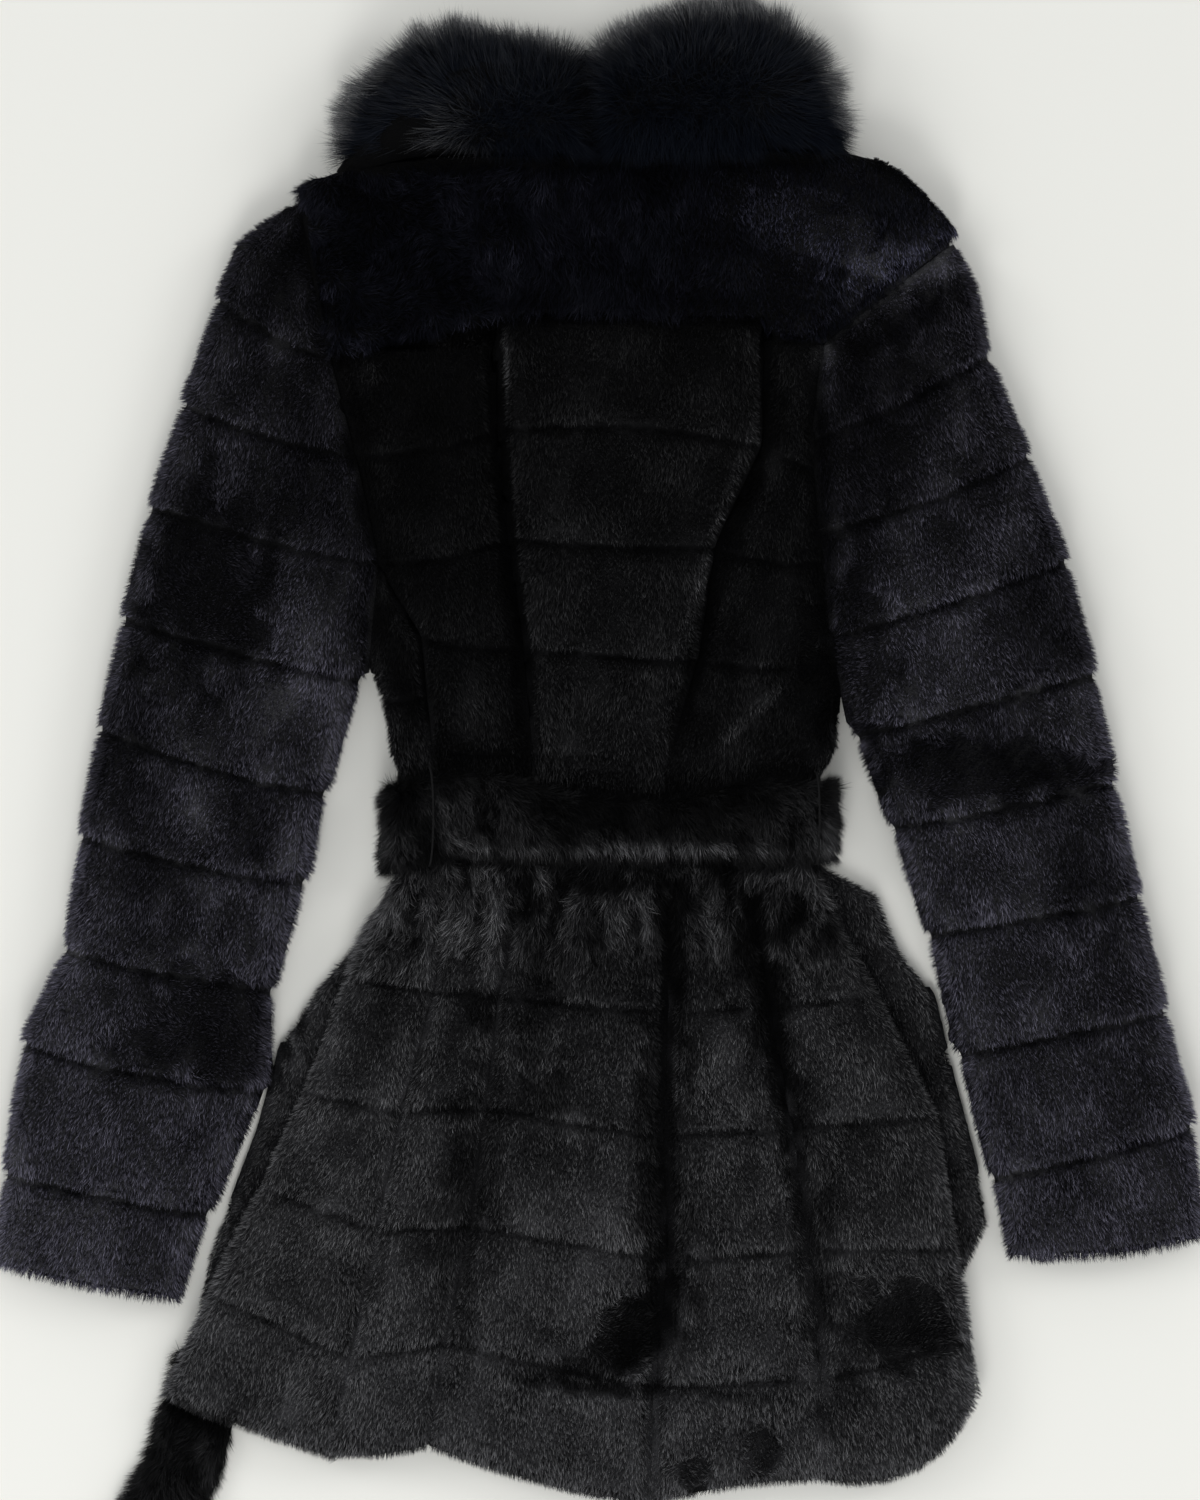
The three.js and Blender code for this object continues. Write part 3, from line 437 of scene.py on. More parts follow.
# A new group of shader nodes with named sockets, and the two ends of it
def node_group(name, inputs, outputs):
    group = bpy.data.node_groups.new(name, "ShaderNodeTree")
    for label, kind, value in inputs:
        socket = group.interface.new_socket(label, in_out="INPUT", socket_type=kind)
        socket.default_value = value
    for label, kind in outputs:
        group.interface.new_socket(label, in_out="OUTPUT", socket_type=kind)
    return group, group.nodes.new("NodeGroupInput"), group.nodes.new("NodeGroupOutput")


def math_node(group, operation, first, second):
    node = group.nodes.new("ShaderNodeMath")
    node.operation = operation
    for socket, value in zip(node.inputs, (first, second)):
        if isinstance(value, (int, float)):
            socket.default_value = value
        else:
            group.links.new(value, socket)
    return node.outputs[0]


# Colour of a hair: dark at the root, and paler towards the tip by as much as its shade, which carries
# its own tone and the painted light and shade of its place; the pale tip colours are painted sheen.
# The palest hairs have a little more gloss
hair_colour, ends, out = node_group(
    "Hair colour",
    [
        ("Root", "NodeSocketColor", (0.004, 0.004, 0.005, 1.0)),
        ("Tip", "NodeSocketColor", (0.03, 0.03, 0.035, 1.0)),
        ("Tip start", "NodeSocketFloat", 1.2),
    ],
    [("Color", "NodeSocketColor"), ("Roughness", "NodeSocketFloat")],
)
along_hair = hair_colour.nodes.new("ShaderNodeAttribute")
along_hair.attribute_name = "along"
shade_of_hair = hair_colour.nodes.new("ShaderNodeAttribute")
shade_of_hair.attribute_name = "shade"
tip_share = math_node(hair_colour, "POWER", along_hair.outputs["Fac"], ends.outputs["Tip start"])
tip_share = math_node(hair_colour, "MULTIPLY", tip_share, shade_of_hair.outputs["Fac"])
mix = hair_colour.nodes.new("ShaderNodeMix")
mix.data_type = "RGBA"
hair_colour.links.new(tip_share, mix.inputs["Factor"])
hair_colour.links.new(ends.outputs["Root"], mix.inputs["A"])
hair_colour.links.new(ends.outputs["Tip"], mix.inputs["B"])
hair_colour.links.new(mix.outputs["Result"], out.inputs["Color"])
shade_gloss = math_node(hair_colour, "MULTIPLY", shade_of_hair.outputs["Fac"], -0.18)
gloss = math_node(hair_colour, "ADD", shade_gloss, 0.62)
hair_colour.links.new(gloss, out.inputs["Roughness"])


def hair_material(name, root, tip, tip_start):
    material = bpy.data.materials.new(name)
    material.use_nodes = True
    tree = material.node_tree
    shader = tree.nodes["Principled BSDF"]
    shader.inputs["Specular IOR Level"].default_value = 0.12
    colour = tree.nodes.new("ShaderNodeGroup")
    colour.node_tree = hair_colour
    colour.inputs["Root"].default_value = (*root, 1.0)
    colour.inputs["Tip"].default_value = (*tip, 1.0)
    colour.inputs["Tip start"].default_value = tip_start
    tree.links.new(colour.outputs["Color"], shader.inputs["Base Color"])
    tree.links.new(colour.outputs["Roughness"], shader.inputs["Roughness"])
    return material


# Underfur: soft, finely mottled, with the painted light and shade of the fur that grows from it, and a
# short nap in its bump
underfur = bpy.data.materials.new("underfur")
underfur.use_nodes = True
underfur_tree = underfur.node_tree
underfur_shader = underfur_tree.nodes["Principled BSDF"]
underfur_shader.inputs["Roughness"].default_value = 0.85
underfur_shader.inputs["Specular IOR Level"].default_value = 0.05
underfur_place = underfur_tree.nodes.new("ShaderNodeTexCoord")
underfur_mottle = underfur_tree.nodes.new("ShaderNodeTexNoise")
underfur_mottle.inputs["Scale"].default_value = 900
underfur_mottle.inputs["Detail"].default_value = 2
underfur_tree.links.new(underfur_place.outputs["Object"], underfur_mottle.inputs["Vector"])
underfur_shade = underfur_tree.nodes.new("ShaderNodeAttribute")
underfur_shade.attribute_name = "shade"
shade_socket = underfur_shade.outputs["Fac"]
mottle_socket = underfur_mottle.outputs["Fac"]
underfur_light = math_node(underfur_tree, "MULTIPLY", shade_socket, mottle_socket)
underfur_mix = underfur_tree.nodes.new("ShaderNodeMix")
underfur_mix.data_type = "RGBA"
underfur_mix.inputs["A"].default_value = (0.0012, 0.0012, 0.0014, 1.0)
underfur_mix.inputs["B"].default_value = (0.05, 0.05, 0.054, 1.0)
underfur_tree.links.new(underfur_light, underfur_mix.inputs["Factor"])
underfur_tree.links.new(underfur_mix.outputs["Result"], underfur_shader.inputs["Base Color"])
underfur_bump = underfur_tree.nodes.new("ShaderNodeBump")
underfur_bump.inputs["Strength"].default_value = 0.8
underfur_bump.inputs["Distance"].default_value = 0.0015
underfur_tree.links.new(mottle_socket, underfur_bump.inputs["Height"])
underfur_tree.links.new(underfur_bump.outputs["Normal"], underfur_shader.inputs["Normal"])

# The fur is neutral on the skirt and the bodice, and a little blue towards the top and sleeves
sheared_hair = hair_material("sheared hair", (0.003, 0.003, 0.0033), (0.5, 0.5, 0.52), 1.3)
cool_hair = hair_material("cool sheared hair", (0.003, 0.0029, 0.0046), (0.475, 0.458, 0.6), 1.3)
blue_hair = hair_material("blue sheared hair", (0.0028, 0.0033, 0.0066), (0.42, 0.42, 0.64), 1.3)

# Sheared fur: how deep its roots lie, its hairs, how steeply they stand, how many there are, and
# the locks that their tips draw together
pile_depth = 0.004
hair_length = 0.0058
hair_width = 0.00044
hair_rise = math.radians(56)
sheared_per_mm2 = 1.38
small_lock = 0.0026
tangled_lock = 0.007

# Places where the fur is ruffled: it lies another way there, and is painted darker, as shade on the
# turned nap.
# Each row gives the middle, the half sizes, and how far the run of the fur is turned.
ruffles = [
    {"x": 0.02, "y": -0.305, "wide": 0.022, "tall": 0.022, "turn": 2.2},
    {"x": 0.184, "y": -0.297, "wide": 0.03, "tall": 0.026, "turn": 2.0},
    {"x": 0.057, "y": -0.387, "wide": 0.014, "tall": 0.012, "turn": -2.0},
    {"x": 0.098, "y": -0.376, "wide": 0.012, "tall": 0.012, "turn": 2.4},
    {"x": -0.232, "y": -0.122, "wide": 0.05, "tall": 0.036, "turn": 1.7},
    {"x": 0.228, "y": 0.03, "wide": 0.075, "tall": 0.018, "turn": 1.5},
    {"x": 0.15, "y": 0.1, "wide": 0.026, "tall": 0.05, "turn": -1.2},
    {"x": -0.13, "y": 0.33, "wide": 0.06, "tall": 0.05, "turn": 1.4},
    {"x": -0.235, "y": 0.14, "wide": 0.04, "tall": 0.06, "turn": 0.9},
]

# Painted highlights where the fur catches the light, and painted shade where it lies in soft folds,
# grooves and gathers, patch by patch. Each row gives the middle (x, y), the half sizes along and
# across the patch, the way it points (radians from the hem), and how many times as light the fur is
# painted there.
light_and_shade_patches = [
    # skirt: folds, gathers, and where it catches the light
    (0.043, -0.07, 0.05, 0.01, 0.0, 0.06),
    (0.034, -0.19, 0.085, 0.018, 0.0, 0.22),
    (0.031, -0.295, 0.035, 0.017, -0.6, 0.12),
    (-0.004, -0.321, 0.035, 0.009, -1.3, 0.18),
    (0.099, -0.11, 0.09, 0.014, 0.18, 0.1),
    (0.072, -0.15, 0.05, 0.012, 0.05, 1.3),
    (0.15, -0.14, 0.05, 0.02, 0.25, 1.15),
    (0.127, -0.246, 0.075, 0.017, 0.05, 0.4),
    (0.003, -0.336, 0.043, 0.005, 1.5, 0.1),
    (0.088, -0.342, 0.03, 0.003, 1.5, 0.4),
    (0.176, -0.303, 0.035, 0.022, 1.3, 0.35),
    (0.146, -0.352, 0.022, 0.015, 0.0, 0.45),
    (-0.08, -0.225, 0.09, 0.021, -0.17, 0.25),
    (0.046, -0.22, 0.07, 0.018, 0.0, 0.55),
    (-0.04, -0.13, 0.05, 0.008, -0.1, 0.45),
    (-0.135, -0.13, 0.04, 0.01, -0.35, 0.6),
    (-0.026, -0.163, 0.02, 0.012, 1.4, 0.3),
    (-0.005, -0.202, 0.02, 0.004, 0.0, 0.5),
    (-0.044, -0.044, 0.02, 0.007, 0.0, 0.12),
    (-0.002, -0.033, 0.03, 0.008, 1.57, 0.15),
    (0.11, -0.051, 0.015, 0.012, 0.0, 0.3),
    (0.018, -0.08, 0.05, 0.12, 0.0, 0.5),
    (-0.07, -0.062, 0.03, 0.014, 0.1, 1.9),
    (0.022, -0.062, 0.016, 0.012, 0.0, 1.8),
    (0.064, -0.068, 0.016, 0.014, 0.0, 1.8),
    (-0.118, -0.073, 0.02, 0.02, 0.0, 1.4),
    (-0.072, -0.112, 0.015, 0.008, 0.0, 0.3),
    (0.055, -0.362, 0.012, 0.014, 0.0, 1.5),
    (-0.008, -0.26, 0.04, 0.035, 0.0, 1.4),
    (-0.171, -0.158, 0.055, 0.035, 0.0, 1.25),
    (0.07, -0.2, 0.06, 0.012, 0.0, 1.2),
    (-0.11, -0.3, 0.06, 0.03, -0.15, 1.2),
    (0.175, -0.19, 0.07, 0.03, 0.1, 0.75),
    # belt
    (0.03, -0.014, 0.06, 0.0035, 1.57, 9.0),
    (0.02, 0.006, 0.065, 0.01, 1.57, 0.25),
    (-0.08, 0.002, 0.025, 0.02, 0.0, 3.0),
    (0.118, -0.006, 0.02, 0.018, 0.0, 2.8),
    # bodice: the columns, the grooves between them and their bright edges
    (-0.158, 0.19, 0.07, 0.028, 0.35, 0.45),
    (-0.14, 0.199, 0.065, 0.007, 0.19, 0.1),
    (-0.123, 0.1, 0.045, 0.009, 0.3, 0.1),
    (-0.058, 0.267, 0.035, 0.003, 0.05, 4.0),
    (-0.056, 0.17, 0.14, 0.005, 0.075, 0.06),
    (-0.096, 0.25, 0.045, 0.025, 0.0, 0.6),
    (0.01, 0.09, 0.05, 0.03, 0.0, 1.3),
    (0.068, 0.17, 0.07, 0.003, -0.34, 2.4),
    (0.08, 0.167, 0.07, 0.005, -0.34, 0.12),
    (0.05, 0.07, 0.04, 0.005, -0.2, 0.2),
    (0.09, 0.065, 0.035, 0.004, -0.82, 4.0),
    (0.125, 0.08, 0.045, 0.016, 0.0, 0.45),
    (0.131, 0.19, 0.09, 0.006, 0.02, 0.2),
    # left sleeve
    (-0.178, 0.1, 0.035, 0.02, 0.3, 1.9),
    (-0.245, 0.02, 0.035, 0.009, 0.1, 1.7),
    (-0.183, -0.028, 0.035, 0.012, -0.1, 1.7),
    (-0.166, 0.062, 0.04, 0.014, 0.1, 1.6),
    (-0.285, 0.055, 0.05, 0.02, -0.15, 0.4),
    (-0.266, -0.02, 0.045, 0.024, 0.0, 0.5),
    (-0.215, 0.262, 0.05, 0.02, -0.4, 1.3),
    (-0.28, -0.21, 0.035, 0.03, 0.0, 0.8),
    (-0.208, 0.0, 0.03, 0.014, 0.0, 0.4),
    (-0.329, -0.237, 0.035, 0.035, 0.0, 1.4),
    # right sleeve
    (0.155, 0.228, 0.08, 0.034, -0.25, 0.3),
    (0.178, 0.105, 0.045, 0.036, 0.15, 2.1),
    (0.268, 0.112, 0.045, 0.022, 0.15, 0.5),
    (0.292, -0.03, 0.04, 0.02, 0.1, 0.55),
    (0.21, -0.04, 0.035, 0.03, 0.1, 1.25),
    (0.318, -0.14, 0.08, 0.02, 0.15, 0.65),
    (0.238, 0.17, 0.03, 0.02, 0.0, 1.6),
    (0.273, 0.076, 0.02, 0.014, 0.0, 2.0),
    (0.233, 0.038, 0.055, 0.012, 1.45, 0.15),
    # yoke
    (0.0, 0.335, 0.04, 0.07, 0.0, 0.5),
    (0.0, 0.308, 0.01, 0.15, 0.0, 0.4),
    (0.126, 0.354, 0.045, 0.018, 1.2, 7.0),
    (0.18, 0.328, 0.04, 0.017, -1.0, 7.0),
    (0.186, 0.3, 0.035, 0.012, -1.0, 0.2),
    (0.132, 0.278, 0.009, 0.007, 0.3, 6.0),
    (-0.137, 0.267, 0.008, 0.006, 0.0, 4.0),
]


# How many times as light the patches of painted light and shade make the fur at each place, with their
# ragged edges
def light_and_shade_at(places, seed):
    light = np.ones(len(places))
    ragged = 0.25 * drift(places, 0.009, seed)
    for x, y, along, across, angle, times in light_and_shade_patches:
        down_it = (places[:, 0] - x) * math.sin(angle) - (places[:, 1] - y) * math.cos(angle)
        over_it = (places[:, 0] - x) * math.cos(angle) + (places[:, 1] - y) * math.sin(angle)
        away = np.hypot(down_it / along, over_it / across)
        light *= 1 + (times - 1) * np.clip((1.4 - away + ragged) / 0.8, 0, 1)
    return light


# How far inside a ruffle a place lies, from 0 to 1, and how far the run of its fur is turned
def ruffle_at(places, seed):
    depth = np.zeros(len(places))
    turn = np.zeros(len(places))
    ragged = 0.28 * drift(places, 0.012, seed)
    for row in ruffles:
        aside = (places[:, 0] - row["x"]) / row["wide"]
        along = (places[:, 1] - row["y"]) / row["tall"]
        away = np.hypot(aside, along)
        inside = np.clip((1.15 - away + ragged) / 0.3, 0, 1)
        depth = np.maximum(depth, inside)
        turn += row["turn"] * inside
    return depth, turn


# The run of the fur, turned in plan by an angle
def turned(run, angle):
    across = np.column_stack([-run[:, 1], run[:, 0], run[:, 2]])
    return run * np.cos(angle)[:, None] + across * np.sin(angle)[:, None]


# A lip is where the surface steps by this much within this reach. Fur below it is painted in shade,
# and along it with a painted highlight.
lip_reach = 0.0035
lip_step = 0.0013
painted_shade_under_lip = 0.3
painted_highlight_along_lip = 1.35

# The random tone and painted sheen of the fur shift softly over wide patches and fine ones, and more
# in long, tangled fur
tone_and_sheen_wide = 0.03
tone_and_sheen_fine = 0.005
tone_and_sheen_tangle = 0.008
darkest_tone_and_sheen = 0.12
lightest_tone_and_sheen = 2.2


# The painted light and shade of the fur at each place of one piece: its painted sheen from top to
# foot, painted shade in the folds, in ruffles and just under each lip, and painted highlights along
# the lips themselves, with the tone and sheen of the nap and the patches above
def painted_light_at(places, sheen, long, seed, crisp):
    share = (places[:, 1].max() - places[:, 1]) / np.ptp(places[:, 1])
    ruffled, _ = ruffle_at(places, seed)
    open_share = 1 + crisp * (openness_at(places) - 1)
    lip_above = height_at(places + [0, lip_reach, 0]) > places[:, 2] + lip_step
    step_below = height_at(places - [0, lip_reach, 0]) < places[:, 2] - lip_step
    lip_shade_and_highlight = np.where(lip_above, painted_shade_under_lip, np.where(step_below, painted_highlight_along_lip, 1))
    tone_and_sheen = 1 + 0.2 * drift(places, tone_and_sheen_wide, seed + 7) + 0.16 * drift(places, tone_and_sheen_fine, seed + 8)
    tone_and_sheen += 0.75 * long * drift(places * [1, 0.45, 1], tone_and_sheen_tangle, seed + 9)
    tone_and_sheen = np.clip(tone_and_sheen, darkest_tone_and_sheen, lightest_tone_and_sheen)
    painted_light = (sheen[0] * (1 - share) + sheen[1] * share) * (1 - 0.7 * ruffled)
    return painted_light * open_share * lip_shade_and_highlight * tone_and_sheen * light_and_shade_at(places, seed)


# How long and tangled the fur is at each place
def shag_at(places, shag):
    axis, positions, amounts = shag
    return np.interp(places[:, axis], positions, amounts)


# Writes the painted light and shade of the fur to the pelt below it
def shade_pelt(pelt, sheen, shag, seed, crisp):
    mesh = pelt.data
    places = np.empty(len(mesh.vertices) * 3)
    mesh.vertices.foreach_get("co", places)
    places = places.reshape(-1, 3) + [0, 0, pile_depth]
    painted_light = painted_light_at(places, sheen, shag_at(places, shag), seed, crisp)
    mesh.attributes.new("shade", "FLOAT", "POINT").data.foreach_set("value", painted_light)


# Sheared fur over one piece, on its pelt. sheen: the painted sheen of its tips at the top and at the
# foot of the piece. shag: from 0, sheared, to 1, long and tangled, by x (0) or y (1).
def shear(name, run_top, run_foot, sheen, shag, seed, hair_kind, crisp, density=sheared_per_mm2):
    random = np.random.default_rng(seed + 500)
    places, leaning, run = roots_on(name, density, run_top, run_foot, seed, crisp)
    count = len(places)
    ruffled, turn = ruffle_at(places, seed)
    long = shag_at(places, shag)
    rise = hair_rise + 0.25 * ruffled - 0.25 * long
    swirl = 0.16 + 0.3 * long + 0.5 * ruffled
    directions = combed(places, leaning, turned(run, turn), rise, swirl, 0.2 + 0.08 * long, seed)
    lengths = hair_length * (1 + 0.9 * long) * random.uniform(0.75, 1.15, count)
    directions = locked(places, directions, lengths, small_lock, 0.5, seed)
    tangled = locked(places, directions, lengths, tangled_lock, 0.4, seed + 1)
    directions = unit(directions * (1 - long[:, None]) + tangled * long[:, None])
    # Each hair's own random tone, with a few hairs painted pale as glints
    tone_and_glints = 0.2 + 1.6 * random.random(count) ** 4
    shade = np.clip(painted_light_at(places, sheen, long, seed, crisp) * tone_and_glints, 0, 1)
    roots = places - leaning * pile_depth
    hair = make_hair(name + "_hair", roots, directions, lengths, hair_width, shade, seed=seed)
    hair.data.materials.append(hair_kind)
    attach(hair, "root")
    return hair


no_shag = (1, [0, 1], [0, 0])


# A pelt with its fur; the tables below give each cut, width by length, and its area
def lay_fur(
    name,
    run_top,
    run_foot,
    sheen,
    seed,
    shag=no_shag,
    hair_kind=sheared_hair,
    crisp=1.0,
):
    pelt = make_pelt(name, pile_depth, seed=seed)
    pelt.data.materials.append(underfur)
    shade_pelt(pelt, sheen, shag, seed, crisp)
    hair = shear(name, run_top, run_foot, sheen, shag, seed, hair_kind, crisp)
    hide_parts(name)
    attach(pelt, "root")


fronts = [
    ("front_left", (0.25, 0.79), 0.132, (-0.1, -1.0), (-0.35, -0.93), (0.8, 0.9), 11),
    ("front_right", (0.23, 0.79), 0.117, (0.1, -1.0), (0.35, -0.93), (0.8, 0.7), 12),
]
for name, cut, area, run_top, run_foot, sheen, seed in fronts:
    lay_fur(name, run_top, run_foot, sheen, seed, crisp=0.4)

# Back yoke
# One piece of fur across both shoulders, sewn to the collar, the sleeves and the three
# columns of the back.
down = (0.0, -1.0)
yoke_shag = (0, [-0.2, -0.1, 0.03, 0.09], [0.5, 0.9, 0.9, 0.0])
lay_fur("back_yoke", down, down, (0.06, 0.08), 21, yoke_shag, blue_hair)

# Bodice
# Three upright columns of shingled tiers, sewn side by side into deep grooves, and a small
# side piece under the left sleeve.
bodice = [
    ("back_left", (0.11, 0.3), 0.0215, (0.05, -1.0), (0.2, -1.0), (0.03, 0.09), 31),
    ("back_centre", (0.163, 0.3), 0.0365, (0.0, -1.0), (0.0, -1.0), (0.1, 0.19), 32),
    ("back_right", (0.112, 0.3), 0.0195, (-0.05, -1.0), (-0.1, -1.0), (0.09, 0.1), 33),
    ("side_left", (0.046, 0.15), 0.0036, (0.1, -1.0), (0.2, -1.0), (0.14, 0.14), 34),
]
for name, cut, area, run_top, run_foot, sheen, seed in bodice:
    lay_fur(name, run_top, run_foot, sheen, seed)

# Skirt
# Five gores of shingled tiers, gathered into the waist seam under the belt, fanning out to
# the hem.
skirt = [
    ("skirt_1", (0.125, 0.37), 0.031, (-0.15, -1.0), (-0.36, -1.0), 41),
    ("skirt_2", (0.09, 0.37), 0.024, (-0.1, -1.0), (-0.2, -1.0), 42),
    ("skirt_3", (0.14, 0.4), 0.049, (0.0, -1.0), (-0.06, -1.0), 43),
    ("skirt_4", (0.106, 0.4), 0.035, (0.05, -1.0), (0.1, -1.0), 44),
    ("skirt_5", (0.12, 0.39), 0.034, (0.15, -1.0), (0.3, -1.0), 45),
]
skirt_shag = (1, [-0.1, -0.06], [0.0, 1.0])
for name, cut, area, run_top, run_foot, seed in skirt:
    lay_fur(name, run_top, run_foot, (0.5, 1.1), seed, skirt_shag, crisp=0.4)

# Sleeves
# Each is one tube of shingled tiers, pressed flat and open at the cuff.
sleeve_wall = 0.004
cuff_reach = 0.03
cuff_facing = 0.75


def lay_sleeve(name, run_top, run_foot, sheen, seed):
    pelt = make_pelt(name, pile_depth, seed=seed)
    pelt.data.materials.append(underfur)
    open_cuff(pelt.data, run_foot)
    wall = pelt.modifiers.new("wall", "SOLIDIFY")
    wall.thickness = sleeve_wall
    wall.offset = -1
    apply_modifiers(pelt)
    for corner in pelt.data.vertices:
        corner.co.z = max(corner.co.z, 0.0)
    shade_pelt(pelt, sheen, no_shag, seed, 1.0)
    hair = shear(name, run_top, run_foot, sheen, no_shag, seed, cool_hair, 1.0)
    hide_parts(name)
    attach(pelt, "root")


# Takes away the faces that close a sleeve's cuff
def open_cuff(mesh, run):
    out_of_cuff = Vector((*run, 0)).normalized()
    furthest = max(corner.co.dot(out_of_cuff) for corner in mesh.vertices)
    shape = bmesh.new()
    shape.from_mesh(mesh)
    closing = [
        face
        for face in shape.faces
        if face.normal.dot(out_of_cuff) > cuff_facing
        and face.calc_center_median().dot(out_of_cuff) > furthest - cuff_reach
    ]
    bmesh.ops.delete(shape, geom=closing, context="FACES")
    shape.to_mesh(mesh)
    shape.free()


lay_sleeve("sleeve_left", (-0.3, -1.0), (-0.2, -1.0), (0.17, 0.95), 51)
lay_sleeve("sleeve_right", (0.3, -1.0), (0.2, -1.0), (0.26, 0.82), 52)

# Collar
# Two halves of long-haired fur, sewn along the neck and meeting in a notch at the middle.
# The hair is dense and blue-black in the middle of each half, kept dark with painted shade, and fans
# out all round it, painted pale at the edges as if lit through.
long_hair = hair_material("long hair", (0.0006, 0.0022, 0.0065), (0.6, 0.6, 0.6), 2.0)
long_hair.node_tree.nodes["Principled BSDF"].inputs["Specular IOR Level"].default_value = 0.1

# Long fur: how deep its roots and its pelt lie, how many hairs there are, and their sizes
collar_depth = 0.015
collar_pelt_depth = 0.013
long_per_mm2 = 0.95
shortest_long = 0.017
longest_long = 0.025
long_width = 0.00032
long_lock = 0.005
lowest_root = 0.001

# It stands up at the ridge and lies over towards the edge, within this distance of the ridge
upright_within = 0.03
ridge_rise = math.radians(64)
edge_rise = math.radians(14)

# Hair is painted pale, as if lit through, where nothing stands as high as this, this far out from its
# root
pale_edge = 0.028
edge_height = 0.004
pale_light = 0.5

# The rest is painted in shade, nearly black, from the lower side of a half to the upper, a little less
# at the top
middle_reach = [-0.02, 0.02]
middle_light = [0.004, 0.05]

# A tangle in the left half gets a painted highlight
tangle = (-0.09, 0.4)
tangle_size = 0.02
tangle_light = 0.2


# ridge: the two ends of the line from which the hair of this half parts, in plan
def lay_collar(name, ridge, seed):
    random = np.random.default_rng(seed + 500)
    pelt = make_pelt(name, collar_pelt_depth, voxel=0.004, lumps=0.002, seed=seed)
    pelt.data.materials.append(underfur)
    places, leaning, _ = roots_on(name, long_per_mm2, down, down, seed)
    count = len(places)
    ends = np.array(ridge)
    line = ends[1] - ends[0]
    share = np.clip(((places[:, :2] - ends[0]) @ line) / (line @ line), 0, 1)
    away = places[:, :2] - (ends[0] + share[:, None] * line)
    distance = np.linalg.norm(away, axis=1)
    spread_out = np.clip(distance / upright_within, 0, 1)
    outward = unit(np.column_stack([away, np.zeros(count)])) * spread_out[:, None]
    beyond = read_sky(even_sky, places + outward * pale_edge, 0.0) < edge_height
    plan = outward.copy()
    plan[:, :2] += 0.35 * random.standard_normal((count, 2)) * (1.2 - spread_out)[:, None]
    rise = ridge_rise - (ridge_rise - edge_rise) * spread_out
    upright = np.tile([0.0, 0.0, 1.0], (count, 1))
    directions = combed(places, upright, unit(plan), rise, 0.35, 0.18, seed)
    lengths = random.uniform(shortest_long, longest_long, count)
    lengths *= 1 + 0.1 * drift(places, small_patch, seed + 3)
    directions = locked(places, directions, lengths, long_lock, 0.4, seed)
    roots = places - leaning * collar_depth
    roots[:, 2] = np.maximum(roots[:, 2], lowest_root)
    fall = np.zeros((count, 3))
    fall[:, 2] = -random.uniform(0.05, 0.3, count)
    from_tangle = np.hypot(places[:, 0] - tangle[0], places[:, 1] - tangle[1]) / tangle_size
    middle = np.interp(places[:, 1] - ends[:, 1].mean(), middle_reach, middle_light)
    painted_light = np.where(beyond, pale_light, middle) + tangle_light * np.clip(1.5 - from_tangle, 0, 1)
    shade = np.clip(painted_light * (0.15 + 1.4 * random.random(count) ** 2), 0, 1)
    hair = make_hair(name + "_hair", roots, directions, lengths, long_width, shade, 2, fall, seed=seed)
    hair.data.materials.append(long_hair)
    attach(hair, "root")
    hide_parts(name)
    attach(pelt, "root")


lay_collar("collar_left", [(-0.064, 0.408), (-0.02, 0.425)], 61)
lay_collar("collar_right", [(0.02, 0.425), (0.088, 0.432)], 62)

# Belt
# A strip of shaggier fur around the waist, held by two thread loops; its free end comes out
# from under the hem on the left.
all_shag = (1, [0, 1], [1, 1])
belt_sheen = (0.03, 0.11)
belt_crisp = 0.6
belt_per_mm2 = 2.2
belt = [
    ("belt_back", (0.33, 0.052), 0.0168, ["skirt_3_pelt"], (0.5, -0.85), 71),
    ("belt_end", (0.048, 0.2), 0.0093, [floor], (-0.35, -0.94), 72),
]
for name, cut, area, rests_on, run, seed in belt:
    pelt = make_pelt(name, pile_depth, seed=seed)
    pelt.data.materials.append(underfur)
    shade_pelt(pelt, belt_sheen, all_shag, seed, belt_crisp)
    hair = shear(name, run, run, belt_sheen, all_shag, seed, sheared_hair, belt_crisp, belt_per_mm2)
    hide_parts(name)
    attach(pelt, "root")

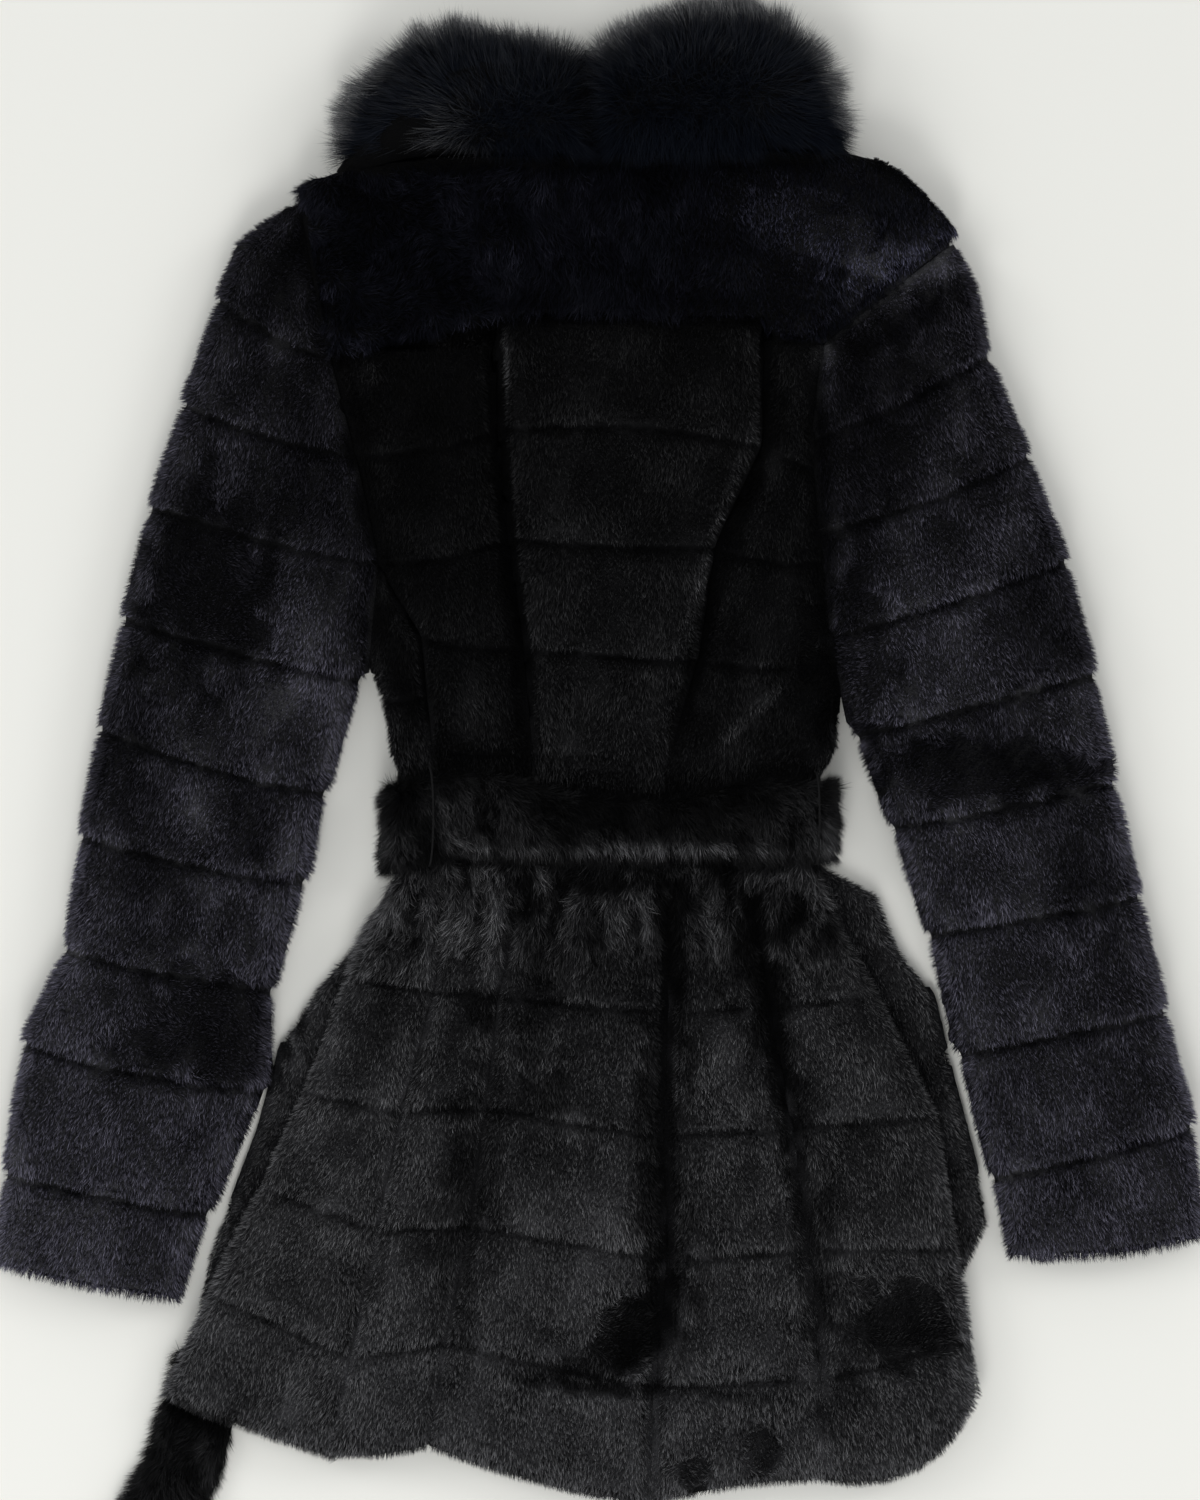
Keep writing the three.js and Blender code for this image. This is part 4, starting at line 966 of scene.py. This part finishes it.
# Belt loops
# Two loops of thick black thread, twisted from two plies, sewn in above and below the belt.
thread = bpy.data.materials.new("thread")
thread.use_nodes = True
thread_tree = thread.node_tree
thread_shader = thread_tree.nodes["Principled BSDF"]
thread_shader.inputs["Roughness"].default_value = 0.6
thread_shader.inputs["Specular IOR Level"].default_value = 0.1
thread_place = thread_tree.nodes.new("ShaderNodeTexCoord")
thread_fibres = thread_tree.nodes.new("ShaderNodeTexNoise")
thread_fibres.inputs["Scale"].default_value = 2500
thread_tree.links.new(thread_place.outputs["Object"], thread_fibres.inputs["Vector"])
thread_shades = thread_tree.nodes.new("ShaderNodeValToRGB")
thread_shades.color_ramp.elements[0].position = 0.3
thread_shades.color_ramp.elements[0].color = (0.002, 0.002, 0.0022, 1.0)
thread_shades.color_ramp.elements[1].position = 0.75
thread_shades.color_ramp.elements[1].color = (0.009, 0.009, 0.0095, 1.0)
thread_tree.links.new(thread_fibres.outputs["Fac"], thread_shades.inputs["Fac"])
thread_tree.links.new(thread_shades.outputs["Color"], thread_shader.inputs["Base Color"])

ply_radius = 0.00042
ply_offset = 0.00036
ply_pitch = 0.0055
loop_points = 90
# From 1, a round arch, down to 0, a square one
arch_squareness = 0.3


# bow: how far the middle of the loop hangs over to one side
def lay_loop(name, bow):
    low, high = (Vector(corner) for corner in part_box(name))
    curve = bpy.data.curves.new(name + "_thread", "CURVE")
    curve.dimensions = "3D"
    curve.bevel_depth = ply_radius
    curve.bevel_resolution = 2
    curve.use_fill_caps = True
    length = (high.y - low.y) + 2 * (high.z - low.z)
    for ply in (0, 1):
        spline = curve.splines.new("POLY")
        spline.points.add(loop_points - 1)
        for k, point in enumerate(spline.points):
            share = k / (loop_points - 1)
            arch = math.sin(math.pi * share) ** arch_squareness
            twist = 2 * math.pi * share * length / ply_pitch + math.pi * ply
            hang = bow * math.sin(math.pi * share)
            x = (low.x + high.x) / 2 + hang + ply_offset * math.cos(twist)
            y = (low.y + high.y) / 2 + (high.y - low.y) / 2 * math.cos(math.pi * share)
            z = low.z + (high.z - low.z) * arch + ply_offset * math.sin(twist)
            point.co = (x, y, z, 1)
    loop = bpy.data.objects.new(name + "_thread", curve)
    linked.link(loop)
    mesh = bpy.data.meshes.new_from_object(loop)
    bpy.data.objects.remove(loop)
    thread_loop = bpy.data.objects.new(name + "_thread", mesh)
    linked.link(thread_loop)
    mesh.materials.append(thread)
    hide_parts(name)
    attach(thread_loop, "root")


lay_loop("belt_loop_left", 0.003)
lay_loop("belt_loop_right", 0.002)
